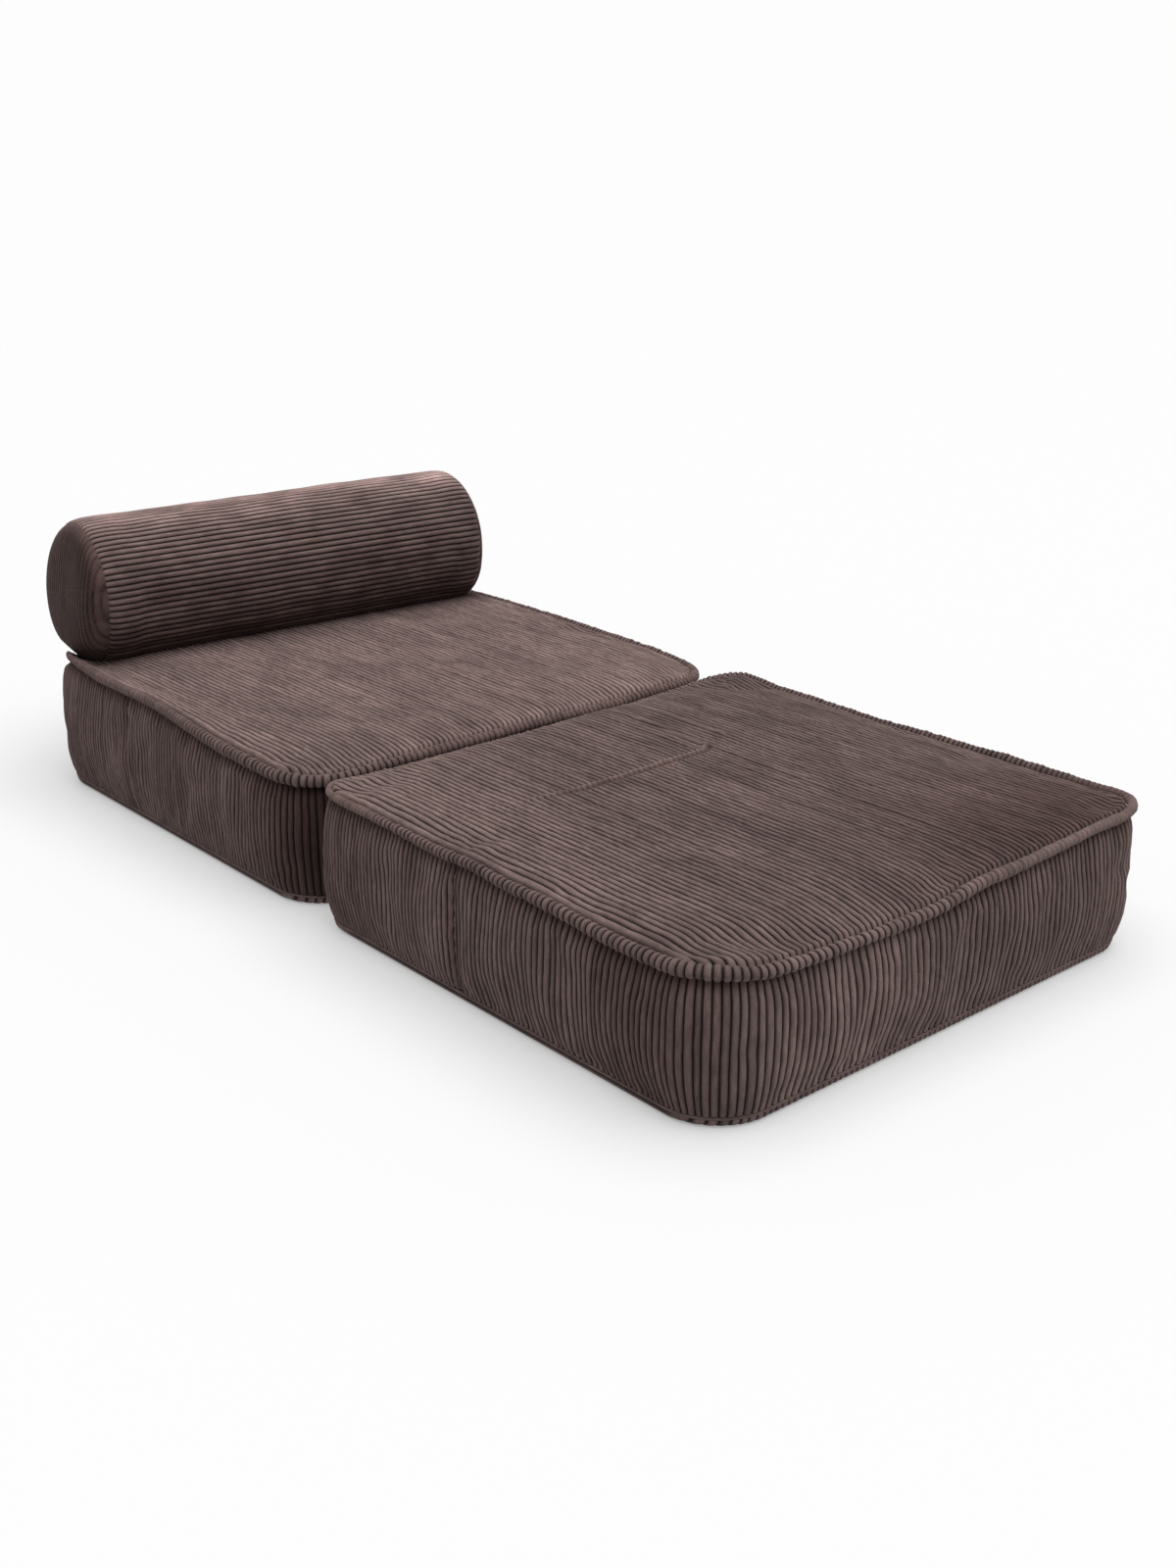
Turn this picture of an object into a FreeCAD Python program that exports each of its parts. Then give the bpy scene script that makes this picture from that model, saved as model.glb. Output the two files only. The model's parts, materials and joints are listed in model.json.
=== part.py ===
import FreeCAD, Part
import math
import os
import Sketcher

# Convertible chair bed: two corduroy foam blocks joined by a cloth hinge along their lower
# edges, and a loose round bolster. Opened flat it is a bed. Folded, the foot block lies
# upside down under the head block and the bolster is the backrest.
#
# Frame: +X across the bed, +Y towards the head end, +Z up, millimetres. The origin is on the
# floor, in the middle of the whole object's outline. Each block is drawn from the hinge line
# outwards, and the foot block is the same drawing turned half round.

os.makedirs("parts", exist_ok=True)
document = FreeCAD.newDocument("ChairBed")

# Driving dimensions, in millimetres unless the name says otherwise
SIZES = {
    # Both blocks
    "block_width": 800,  # over the welts
    "foot_length": 790,
    "head_length": 778,
    "block_height": 200,  # floor to the top of the welt
    "corner_radius": 95,  # in plan, over the welt
    "junction_gap": 1,  # between the blocks when flat
    "hinge_drop": 0.4,  # hinge line below the floor faces
    "cloth": 3,  # thickness of the corduroy
    "layer_gap": 0.3,  # clearance between layers
    "wrap_thickness": 12,  # fibre wrap over the foam
    "foam_bottom_round": 9,  # height of the foam core's rounded lower edge
    "foam_top_round": 22,  # radius of the foam core's upper edge
    "foot_join": 326,  # hinge line to the foot band's upright seams
    "head_join": 500,  # hinge line to the head band's upright seams

    # The crowned top
    "crown": 4,  # rise of the top panel's middle above the welt
    "crown_margin": 80,  # edge of the block to the flat middle of its top
    "panel_dip": 3,  # panel's sewn edge below the top of the welt

    # The side band: how far it is drawn in, and where, as shares of its height
    "side_bulge_gap": 0.5,  # draw-in at mid height
    "top_tuck": 9,  # draw-in under the welt
    "bottom_tuck": 11,  # draw-in at the lower seam
    "low_level_share": 0.2,
    "low_draw_share": 0.3,  # share of the bottom tuck that is left at the low level
    "high_level_share": 0.85,
    "high_draw_share": 0.4,  # share of the top tuck that is reached at the high level

    # Welt, piping and cloth hinge
    "welt_radius": 9,
    "welt_cord_radius": 5.7,
    "piping_radius": 2,
    "seam_height": 13,  # floor to the lower seam
    "flap_width": 600,
    "flap_thickness": 1.2,
    "flap_slant": 1.5,  # the slanting flap's level thickness over its own
    "flap_clearance": 0.4,  # to the hinge line and the floor

    # Zips
    "zip_place": 90,  # hinge line to the zip in the underside
    "zip_travel": 560,
    "zip_garage": 30,  # length of the slot past each end of the travel
    "zip_slot_half": 7,
    "zip_hem": 3,  # height and width of the slot's turned-in hem
    "zip_room": 1,  # free space round the tapes inside
    "tape_half": 11,
    "tape_thickness": 0.8,
    "coil_inner": 0.7,  # centre line to the teeth
    "coil_outer": 2.7,  # centre line to the outside of the teeth
    "coil_half_height": 1.2,
    "slider_length": 12,
    "slider_width": 9,
    "slider_plate": 1.1,  # thickness of each plate
    "slider_clearance": 0.2,  # play over the teeth and the tape
    "slider_side_play": 0.6,  # play beside the teeth
    "slider_neck": 0.9,  # thickness of the web between the plates
    "slider_neck_length": 6,
    "bail_length": 7.2,
    "bail_width": 2.4,
    "bail_bar": 1.2,
    "bail_room": 1.8,  # height of the window under the bail
    "puller_length": 25,
    "puller_width": 6,
    "puller_plate": 1.2,
    "puller_window": 5.5,  # far end of the window, from the cross bar's axis
    "puller_side_play": 0.4,  # window's edge to the bail

    # Bolster
    "bolster_length": 746,  # over its end caps
    "bolster_radius": 112,
    "bolster_flat": 5,  # depth that it settles by
    "bolster_draw": 5,  # draw-in of the radius at the ends
    "bolster_shoulder": 45,  # length over which the ends draw in
    "cap_bulge": 28,
    "cap_round_share": 0.3,  # share of the cap's radius that its rounded edge takes
    "bolster_across": 14,  # middle of the bolster off the centre line
    "bolster_inset": 67.5,  # far end of the head block to the middle of the bolster
    "bolster_turn_angle": 4.8,  # in plan
    "bolster_zip_angle": 62,  # up from straight down
    "bolster_zip_travel": 520,
    "bolster_tape_depth": 4.3,

    # Cutting shapes run this far past what they cut
    "overcut": 1,
}
sheet = document.addObject("Spreadsheet::Sheet", "Sizes")
for row, (name, value) in enumerate(SIZES.items(), 1):
    sheet.set(f"A{row}", name.replace("_", " "))
    sheet.set(f"B{row}", str(value))
    sheet.setAlias(f"B{row}", name)
document.recompute()


def size(name):
    """The name of a size as an expression writes it."""
    return f"Sizes.{name}"


def number(expression):
    """The present value of an expression, as a plain number."""
    value = sheet.evalExpression(expression)
    return float(getattr(value, "Value", value))


def bind(thing, **properties):
    """Ties properties of one object to expressions. Two underscores stand for a dot."""
    for name, expression in properties.items():
        thing.setExpression(name.replace("__", "."), expression)


# Where things are: shared expressions
WIDTH = size("block_width")
GAP = size("junction_gap")
CLOTH = size("cloth")
WELT = size("welt_radius")
SEAM = size("seam_height")
PIPING = size("piping_radius")
TOP = size("block_height")
BAND_LOW = f"({SEAM} + {PIPING})"
BAND_HIGH = f"({TOP} - 2 * {WELT})"
TRAY_HIGH = f"({SEAM} - {PIPING})"
PANEL_EDGE = f"(2 * {WELT} + {size('layer_gap')})"
WRAP_INSET = f"({CLOTH} + {size('layer_gap')})"
BOLSTER_HALF = f"({size('bolster_length')} / 2 - {size('cap_bulge')})"
BOLSTER_BASE = f"({TOP} + {size('crown')} + {size('layer_gap')})"
BOLSTER_AXIS = f"({BOLSTER_BASE} + {size('bolster_radius')} - {size('bolster_flat')})"
BOLSTER_ALONG = f"({GAP} / 2 + {size('head_length')} - {size('bolster_inset')})"
BOLSTER_REACH = (
    f"max(({BOLSTER_HALF} - {size('bolster_shoulder')}) * sin({size('bolster_turn_angle')})"
    f" + {size('bolster_radius')} * cos({size('bolster_turn_angle')});"
    f" {BOLSTER_HALF} * sin({size('bolster_turn_angle')})"
    f" + ({size('bolster_radius')} - {size('bolster_draw')}) * cos({size('bolster_turn_angle')}))"
)
FRONT = f"({GAP} / 2 + {size('foot_length')})"
REAR = f"max({BOLSTER_ALONG} + {BOLSTER_REACH}; {GAP} / 2 + {size('head_length')})"
HINGE_Y = f"(({FRONT} - {REAR}) / 2)"
BLOCK_TAPE = f"({CLOTH} + {size('zip_hem')})"
PULLER_AXIS = f"({size('coil_half_height')} + {size('slider_clearance')} + {size('slider_plate')})"

ROUND_STEPS = 3  # straight runs in each rounded edge's profile


def turn(axis, angle):
    """A rotation about an axis, given as three numbers in text, as an expression."""
    return f"rotation(vector({axis}); {angle})"


def place(x, y, z, rotation):
    """A placement as an expression."""
    return f"placement(vector({x}; {y}; {z}); {rotation})"


BLOCKS = {
    "head": place(0, HINGE_Y, 0, turn("0;0;1", 0)),
    "foot": place(0, HINGE_Y, 0, turn("0;0;1", 180)),
}
BOLSTER = place(
    size("bolster_across"), f"{HINGE_Y} + {BOLSTER_ALONG}", BOLSTER_AXIS,
    turn("0;0;1", f"0 - {size('bolster_turn_angle')}"))


def new_body(name, placement, many=False):
    """An empty body with its name and place. A body of several solids says so."""
    body = document.addObject("PartDesign::Body", name)
    body.Label = name
    body.AllowCompound = many
    bind(body, Placement=placement)
    return body


def plane(body, role):
    """One of the body's own origin planes."""
    return next(item for item in body.Origin.OriginFeatures if item.Role == role)


def new_sketch(body, name, role, offset):
    """A sketch on an origin plane of its body, moved off it by an expression."""
    sketch = body.newObject("Sketcher::SketchObject", name)
    sketch.AttachmentSupport = [(plane(body, role), "")]
    sketch.MapMode = "FlatFace"
    sketch.setExpression("AttachmentOffset.Base.z", offset)
    return sketch


def dimension(sketch, kind, expression, *where):
    """A driving dimension tied to an expression."""
    index = sketch.addConstraint(Sketcher.Constraint(kind, *where, number(expression)))
    sketch.setExpression(f"Constraints[{index}]", expression)


def chain(sketch, kind, *edges):
    """Joins each edge's end to the next edge's start, round and back to the first."""
    for edge, following in zip(edges, edges[1:] + edges[:1]):
        sketch.addConstraint(Sketcher.Constraint(kind, edge, 2, following, 1))


def block_outline(body, name, length, inset, height):
    """A block's rounded plan at one height, drawn in by inset."""
    sketch = new_sketch(body, name, "XY_Plane", height)
    half_text = f"{WIDTH} / 2 - ({inset})"
    near_text = f"{GAP} / 2 + ({inset})"
    far_text = f"{GAP} / 2 + {length} - ({inset})"
    radius_text = f"{size('corner_radius')} - ({inset})"
    half, near, far, radius = (
        number(text) for text in (half_text, near_text, far_text, radius_text))
    inner = half - radius
    low = near + radius
    high = far - radius
    point = FreeCAD.Vector
    for start, end in (
        (point(-inner, near), point(inner, near)),
        (point(half, low), point(half, high)),
        (point(inner, far), point(-inner, far)),
        (point(-half, high), point(-half, low)),
    ):
        sketch.addGeometry(Part.LineSegment(start, end))
    for quarter, centre in enumerate(
            (point(inner, low), point(inner, high), point(-inner, high), point(-inner, low))):
        circle = Part.Circle(centre, point(0, 0, 1), radius)
        start = math.radians(90 * quarter - 90)
        sketch.addGeometry(Part.ArcOfCircle(circle, start, start + math.radians(90)))
    chain(sketch, "Tangent", 0, 4, 1, 5, 2, 6, 3, 7)
    sketch.addConstraint([
        Sketcher.Constraint("Horizontal", 0),
        Sketcher.Constraint("Horizontal", 2),
        Sketcher.Constraint("Vertical", 1),
        Sketcher.Constraint("Vertical", 3),
        Sketcher.Constraint("Equal", 4, 5),
        Sketcher.Constraint("Equal", 5, 6),
        Sketcher.Constraint("Equal", 6, 7),
    ])
    dimension(sketch, "Radius", radius_text, 4)
    dimension(sketch, "DistanceX", half_text, -1, 1, 1, 1)
    dimension(sketch, "DistanceX", half_text, 3, 1, -1, 1)
    dimension(sketch, "DistanceY", near_text, -1, 1, 0, 1)
    dimension(sketch, "DistanceY", far_text, -1, 1, 2, 1)
    return sketch


def bolster_outline(body, name, radius, along):
    """The bolster's round section, settled flat underneath, at one place along its axis."""
    sketch = new_sketch(body, name, "YZ_Plane", along)
    flat = f"({radius}) - {size('bolster_flat')}"
    reach = number(radius)
    drop = number(flat)
    half = math.sqrt(reach ** 2 - drop ** 2)
    top = math.radians(90)
    corner = math.atan2(-drop, half)
    circle = Part.Circle(FreeCAD.Vector(0, 0), FreeCAD.Vector(0, 0, 1), reach)
    sketch.addGeometry(Part.ArcOfCircle(circle, corner, top))
    sketch.addGeometry(Part.ArcOfCircle(circle, top, 2 * top - corner))
    sketch.addGeometry(Part.LineSegment(
        FreeCAD.Vector(-half, -drop), FreeCAD.Vector(half, -drop)))
    sketch.addConstraint([
        Sketcher.Constraint("Coincident", 0, 3, -1, 1),
        Sketcher.Constraint("Coincident", 1, 3, -1, 1),
        Sketcher.Constraint("PointOnObject", 0, 2, -2),
        Sketcher.Constraint("Horizontal", 2),
    ])
    chain(sketch, "Coincident", 0, 1, 2)
    dimension(sketch, "Radius", radius, 0)
    dimension(sketch, "DistanceY", flat, 2, 1, -1, 1)
    return sketch


def add_loft(body, name, sketches, cut=False):
    """A solid, or a hollow, through a row of sketches."""
    kind = "PartDesign::SubtractiveLoft" if cut else "PartDesign::AdditiveLoft"
    loft = body.newObject(kind, name)
    loft.Profile = sketches[0]
    loft.Sections = sketches[1:]
    loft.Ruled = True
    return loft


def block_loft(body, name, length, sections, cut=False):
    """A loft through a block's plan, drawn in and raised as each section says."""
    sketches = [
        block_outline(body, f"{name}_{step}", length, inset, height)
        for step, (inset, height) in enumerate(sections)]
    return add_loft(body, name, sketches, cut)


def bolster_loft(body, name, sections, cut=False):
    """A loft through the bolster's sections."""
    sketches = [
        bolster_outline(body, f"{name}_{step}", radius, along)
        for step, (radius, along) in enumerate(sections)]
    return add_loft(body, name, sketches, cut)


def add_box(body, name, low, high, cut=False, placement=None):
    """A box between two corners given as expressions, added or cut away."""
    kind = "PartDesign::SubtractiveBox" if cut else "PartDesign::AdditiveBox"
    box = body.newObject(kind, name)
    if placement is None:
        placement = place(0, 0, 0, turn("0;0;1", 0))
    corner = place(low[0], low[1], low[2], turn("0;0;1", 0))
    bind(
        box,
        Placement=f"{placement} * {corner}",
        Length=f"({high[0]}) - ({low[0]})",
        Width=f"({high[1]}) - ({low[1]})",
        Height=f"({high[2]}) - ({low[2]})")
    return box


# A block's forms, from the floor up

def round_steps():
    """Sine and cosine of the steps of a quarter round, as expressions' numbers."""
    for step in range(ROUND_STEPS + 1):
        angle = 90 * step / ROUND_STEPS
        yield f"sin({angle})", f"cos({angle})"


def side_sections(extra, top_height):
    """The side of a block: drawn in at both seams and swelling between them."""
    swell = size("side_bulge_gap")
    rise = f"({BAND_HIGH} - {BAND_LOW})"
    return [
        (f"{size('bottom_tuck')} + {extra}", BAND_LOW),
        (f"{swell} + {size('low_draw_share')} * ({size('bottom_tuck')} - {swell}) + {extra}",
         f"{BAND_LOW} + {size('low_level_share')} * {rise}"),
        (f"{swell} + {extra}", f"{BAND_LOW} + {rise} / 2"),
        (f"{swell} + {size('high_draw_share')} * ({size('top_tuck')} - {swell}) + {extra}",
         f"{BAND_LOW} + {size('high_level_share')} * {rise}"),
        (f"{size('top_tuck')} + {extra}", top_height),
    ]


def crown_sections(start, lowered):
    """The crowned top, from its edge to the flat middle."""
    margin = f"({size('crown_margin')} - ({start}))"
    dip = size("panel_dip")
    edge_height = f"({TOP} - {dip} - ({lowered}))"
    return [
        (f"({start}) + {margin} * (1 - {cosine})",
         f"{edge_height} + ({dip} + {size('crown')}) * {sine}")
        for sine, cosine in round_steps()]


def foam_sections(grown):
    """The foam core with rounded edges, or the hollow for it."""
    inset = f"({size('side_bulge_gap')} + {WRAP_INSET} + {size('wrap_thickness')} - ({grown}))"
    low_round = size("foam_bottom_round")
    low_edge = f"(2 * {size('bottom_tuck')} + {CLOTH} + {size('layer_gap')})"
    top_round = size("foam_top_round")
    top = (f"({TOP} + {size('crown')} - {CLOTH} - {size('wrap_thickness')}"
           f" - 2 * {size('layer_gap')} + ({grown}))")
    lower = [
        (f"{inset} + ({low_edge} - {inset}) * (1 - {sine})",
         f"{CLOTH} + {low_round} * (1 - {cosine})")
        for sine, cosine in round_steps()]
    upper = [
        (f"{inset} + {top_round} * (1 - {cosine})", f"{top} - {top_round} * (1 - {sine})")
        for sine, cosine in round_steps()]
    return lower + upper


def zip_box(side_room, end_room, low, high):
    """Corners of a box over the underside's zip, in the block's own frame."""
    half = f"({size('zip_travel')} / 2 + {size('zip_garage')} + {end_room})"
    return (
        (f"0 - {half}", f"{size('zip_place')} - ({side_room})", low),
        (half, f"{size('zip_place')} + ({side_room})", high))


def make_foam_core(name, placement, length):
    """The foam slab, with a channel underneath for the back of the zip."""
    body = new_body(name, placement)
    block_loft(body, f"{name}_slab", length, foam_sections("0"))
    room = size("zip_room")
    depth = f"{BLOCK_TAPE} + 2 * {size('coil_half_height')} + {size('slider_plate')} + {room}"
    low, high = zip_box(
        f"{size('tape_half')} + {room}", f"{size('zip_hem')} + {room}", "0", f"{CLOTH} + {depth}")
    add_box(body, f"{name}_channel", low, high, cut=True)


def make_fibre_wrap(name, placement, length):
    """The fibre wrap over the foam's top and sides, open underneath."""
    body = new_body(name, placement)
    under_band = f"{BAND_HIGH} - {CLOTH}"
    outside = side_sections(WRAP_INSET, under_band)
    outside += [
        (f"{PANEL_EDGE} + {WRAP_INSET}", f"{BAND_HIGH} + {CLOTH} / 2"),
    ]
    outside += crown_sections(f"{PANEL_EDGE} + {WRAP_INSET}", WRAP_INSET)
    block_loft(body, f"{name}_outside", length, outside)
    hollow = foam_sections(size("layer_gap"))[ROUND_STEPS:]
    inset = hollow[0][0]
    hollow[0] = (inset, BAND_LOW)
    block_loft(body, f"{name}_hollow", length, hollow, cut=True)


def make_top_panel(name, placement, length):
    """The crowned top panel, sewn to the inner side of the welt."""
    body = new_body(name, placement)
    outside = crown_sections(PANEL_EDGE, "0")
    outside = [(PANEL_EDGE, f"{TOP} - {size('panel_dip')} - {CLOTH}")] + outside
    block_loft(body, f"{name}_outside", length, outside)
    inside = crown_sections(f"{PANEL_EDGE} + {CLOTH}", CLOTH)
    block_loft(body, f"{name}_inside", length, inside, cut=True)


def make_band(name, placement, length, join, keep_hinge_side):
    """Half of the side band, from one upright seam round to the other."""
    body = new_body(name, placement)
    block_loft(body, f"{name}_outside", length, side_sections("0", BAND_HIGH))
    block_loft(body, f"{name}_inside", length, side_sections(CLOTH, BAND_HIGH), cut=True)
    low_y, high_y = (join, f"{length} + {WIDTH}") if keep_hinge_side else (f"0 - {WIDTH}", join)
    add_box(
        body, f"{name}_other_half",
        (f"0 - {WIDTH}", low_y, "0"), (WIDTH, high_y, TOP), cut=True)


def make_bottom_panel(name, placement, length):
    """The underside: a shallow tray with a hemmed slot for the zip."""
    body = new_body(name, placement)
    tuck = size("bottom_tuck")
    outside = [
        (f"{tuck} + {tuck} * (1 - {sine})", f"{TRAY_HIGH} * (1 - {cosine})")
        for sine, cosine in round_steps()]
    inside = [
        (f"{tuck} + {CLOTH} + {tuck} * (1 - {sine})",
         f"{CLOTH} + ({TRAY_HIGH} - {CLOTH}) * (1 - {cosine})")
        for sine, cosine in round_steps()]
    block_loft(body, f"{name}_outside", length, outside)
    block_loft(body, f"{name}_inside", length, inside, cut=True)
    low, high = zip_box(
        f"{size('zip_slot_half')} + {size('zip_hem')}", size("zip_hem"), CLOTH, BLOCK_TAPE)
    add_box(body, f"{name}_hem", low, high)
    low, high = zip_box(
        size("zip_slot_half"), "0", f"0 - {size('overcut')}", f"{BLOCK_TAPE} + {size('overcut')}")
    add_box(body, f"{name}_slot", low, high, cut=True)


def add_roll(body, name, path, centre, radius, cut=False):
    """Carries a round section once round a path. The centre is two expressions."""
    start = f"0 - ({WIDTH} / 2 - {size('corner_radius')})"
    profile = new_sketch(body, f"{name}_profile", "YZ_Plane", start)
    middle = FreeCAD.Vector(number(centre[0]), number(centre[1]))
    profile.addGeometry(Part.Circle(middle, FreeCAD.Vector(0, 0, 1), number(radius)))
    dimension(profile, "Radius", radius, 0)
    dimension(profile, "DistanceX", centre[0], -1, 1, 0, 3)
    dimension(profile, "DistanceY", centre[1], -1, 1, 0, 3)
    kind = "PartDesign::SubtractivePipe" if cut else "PartDesign::AdditivePipe"
    pipe = body.newObject(kind, name)
    pipe.Profile = profile
    pipe.Spine = (path, [f"Edge{edge + 1}" for edge in range(path.GeometryCount)])


def make_edge_roll(name, placement, length, inset, height, outer, inner=None):
    """A round roll or cord that runs once round a block. With an inner radius it is a tube."""
    body = new_body(name, placement)
    path = block_outline(body, f"{name}_path", length, inset, height)
    centre = (f"{GAP} / 2 + ({inset})", height)
    add_roll(body, f"{name}_roll", path, centre, outer)
    if inner:
        add_roll(body, f"{name}_bore", path, centre, inner, cut=True)


def make_hinge_flap(name, placement):
    """Half of the cloth hinge, from the lower seam down to the hinge line."""
    body = new_body(name, placement)
    sketch = new_sketch(body, f"{name}_profile", "YZ_Plane", "0")
    clear = size("flap_clearance")
    wide = f"{size('flap_thickness')} * {size('flap_slant')}"
    seam_side = f"{GAP} / 2 + {size('bottom_tuck')} + {CLOTH} / 2 - {PIPING} - {size('layer_gap')}"
    corners = (
        (clear, clear),
        (f"{clear} + {wide}", clear),
        (seam_side, SEAM),
        (f"{seam_side} - {wide}", SEAM),
    )
    points = [FreeCAD.Vector(number(y), number(z)) for y, z in corners]
    for start, end in zip(points, points[1:] + points[:1]):
        sketch.addGeometry(Part.LineSegment(start, end))
    chain(sketch, "Coincident", 0, 1, 2, 3)
    for index, (y, z) in enumerate(corners):
        dimension(sketch, "DistanceX", y, -1, 1, index, 1)
        dimension(sketch, "DistanceY", z, -1, 1, index, 1)
    pad = body.newObject("PartDesign::Pad", f"{name}_cloth")
    pad.Profile = sketch
    pad.SideType = "Symmetric"
    bind(pad, Length=size("flap_width"))


# The zips, each in its own frame: X along the zip, Z out through the cloth

def mirrored_boxes(body, name, x_range, inner, outer, z_range):
    """Two like boxes, one each side of the zip's centre line."""
    add_box(body, f"{name}_left", (x_range[0], f"0 - ({outer})", z_range[0]),
            (x_range[1], f"0 - ({inner})", z_range[1]))
    add_box(body, f"{name}_right", (x_range[0], inner, z_range[0]),
            (x_range[1], outer, z_range[1]))


def make_zip(prefix, placement, travel, depth):
    """Tapes, teeth, slider and puller. The tapes' outer face lies at the given depth."""
    half = f"({travel} / 2 + {size('zip_garage')})"
    whole = (f"0 - {half}", half)
    tape = size("tape_thickness")
    tooth = size("coil_half_height")
    tape_low = f"0 - ({depth}) - {tape}"
    middle = f"0 - ({depth}) - {tape} / 2"

    tapes = new_body(f"{prefix}_zip_tapes", placement, many=True)
    mirrored_boxes(tapes, f"{prefix}_tape", whole, size("coil_outer"), size("tape_half"),
                   (tape_low, f"0 - ({depth})"))
    coils = new_body(f"{prefix}_zip_teeth", placement, many=True)
    mirrored_boxes(coils, f"{prefix}_row", whole, size("coil_inner"), size("coil_outer"),
                   (f"{middle} - {tooth}", f"{middle} + {tooth}"))

    rest = place(f"0 - {travel} / 2", 0, middle, turn("0;0;1", 0))
    make_slider(f"{prefix}_zip_slider", f"{placement} * {rest}")
    raised = place(0, 0, f"{PULLER_AXIS} + {size('bail_room')} / 2", turn("0;0;1", 180))
    make_puller(f"{prefix}_zip_puller", f"{placement} * {rest} * {raised}")


def make_slider(name, placement):
    """Two plates joined by a web, grooved for teeth and tapes, with a bail on top."""
    body = new_body(name, placement)
    half_x = f"({size('slider_length')} / 2)"
    half_y = f"({size('slider_width')} / 2)"
    room = f"({size('coil_half_height')} + {size('slider_clearance')})"
    top = f"({room} + {size('slider_plate')})"
    groove = f"({size('coil_outer')} + {size('slider_side_play')})"
    lip = f"({size('tape_thickness')} / 2 + {size('slider_clearance')})"
    beyond = f"({half_x} + {size('overcut')})"
    add_box(body, f"{name}_block",
            (f"0 - {half_x}", f"0 - {half_y}", f"0 - {top}"), (half_x, half_y, top))
    add_box(body, f"{name}_tooth_groove",
            (f"0 - {beyond}", f"0 - {groove}", f"0 - {room}"), (beyond, groove, room), cut=True)
    web = f"({size('slider_neck')} / 2)"
    web_x = f"({size('slider_neck_length')} / 2)"
    add_box(body, f"{name}_web",
            (f"0 - {web_x}", f"0 - {web}", f"0 - {top}"), (web_x, web, top))
    outside = f"{half_y} + {size('overcut')}"
    for side, low_y, high_y in (("left", f"0 - ({outside})", f"0 - {groove}"),
                                ("right", groove, outside)):
        add_box(body, f"{name}_tape_groove_{side}",
                (f"0 - {beyond}", low_y, f"0 - {lip}"), (beyond, high_y, lip), cut=True)
    bar = size("bail_bar")
    bail_x = f"({size('bail_length')} / 2)"
    bail_y = f"({size('bail_width')} / 2)"
    window_top = f"({top} + {size('bail_room')})"
    add_box(body, f"{name}_bail",
            (f"0 - {bail_x}", f"0 - {bail_y}", f"{top} - {size('slider_plate')} / 2"),
            (bail_x, bail_y, f"{window_top} + {bar}"))
    add_box(body, f"{name}_bail_window",
            (f"0 - ({bail_x} - {bar})", f"0 - {half_y}", top),
            (f"{bail_x} - {bar}", half_y, window_top), cut=True)


def make_puller(name, placement):
    """The pull tab. Its cross bar turns inside the slider's bail."""
    body = new_body(name, placement)
    half_bar = f"({size('puller_plate')} / 2)"
    half_y = f"({size('puller_width')} / 2)"
    window_y = f"({size('bail_width')} / 2 + {size('puller_side_play')})"
    past = f"({half_bar} + {size('overcut')})"
    add_box(body, f"{name}_tab",
            (f"0 - {half_bar}", f"0 - {half_y}", f"0 - {half_bar}"),
            (f"{size('puller_length')} - {half_bar}", half_y, half_bar))
    add_box(body, f"{name}_window",
            (half_bar, f"0 - {window_y}", f"0 - {past}"),
            (size("puller_window"), window_y, past), cut=True)


def make_block(prefix, length, join):
    """All the pieces of one block."""
    placement = BLOCKS[prefix]
    piping_inset = f"{size('bottom_tuck')} + {CLOTH} / 2"
    welt_height = f"{TOP} - {WELT}"
    make_foam_core(f"{prefix}_foam_core", placement, length)
    make_fibre_wrap(f"{prefix}_fibre_wrap", placement, length)
    make_top_panel(f"{prefix}_top_panel", placement, length)
    make_band(f"{prefix}_hinge_band", placement, length, join, True)
    make_band(f"{prefix}_end_band", placement, length, join, False)
    make_bottom_panel(f"{prefix}_bottom_panel", placement, length)
    make_edge_roll(f"{prefix}_top_welt", placement, length, WELT, welt_height, WELT,
                   f"{size('welt_cord_radius')} + {size('layer_gap')}")
    make_edge_roll(f"{prefix}_welt_cord", placement, length, WELT, welt_height,
                   size("welt_cord_radius"))
    make_edge_roll(f"{prefix}_bottom_piping", placement, length, piping_inset, SEAM, PIPING)
    make_hinge_flap(f"{prefix}_hinge_flap", placement)
    underside = f"{placement} * {place(0, size('zip_place'), 0, turn('1;0;0', 180))}"
    make_zip(prefix, underside, size("zip_travel"), BLOCK_TAPE)


def bolster_sections(inset):
    """The bolster's tube: full in the middle, drawn in at both ends."""
    middle = f"{size('bolster_radius')} - ({inset})"
    end = f"{middle} - {size('bolster_draw')}"
    shoulder = f"({BOLSTER_HALF} - {size('bolster_shoulder')})"
    return [
        (end, f"0 - {BOLSTER_HALF}"),
        (middle, f"0 - {shoulder}"),
        (middle, shoulder),
        (end, BOLSTER_HALF),
    ]


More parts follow.
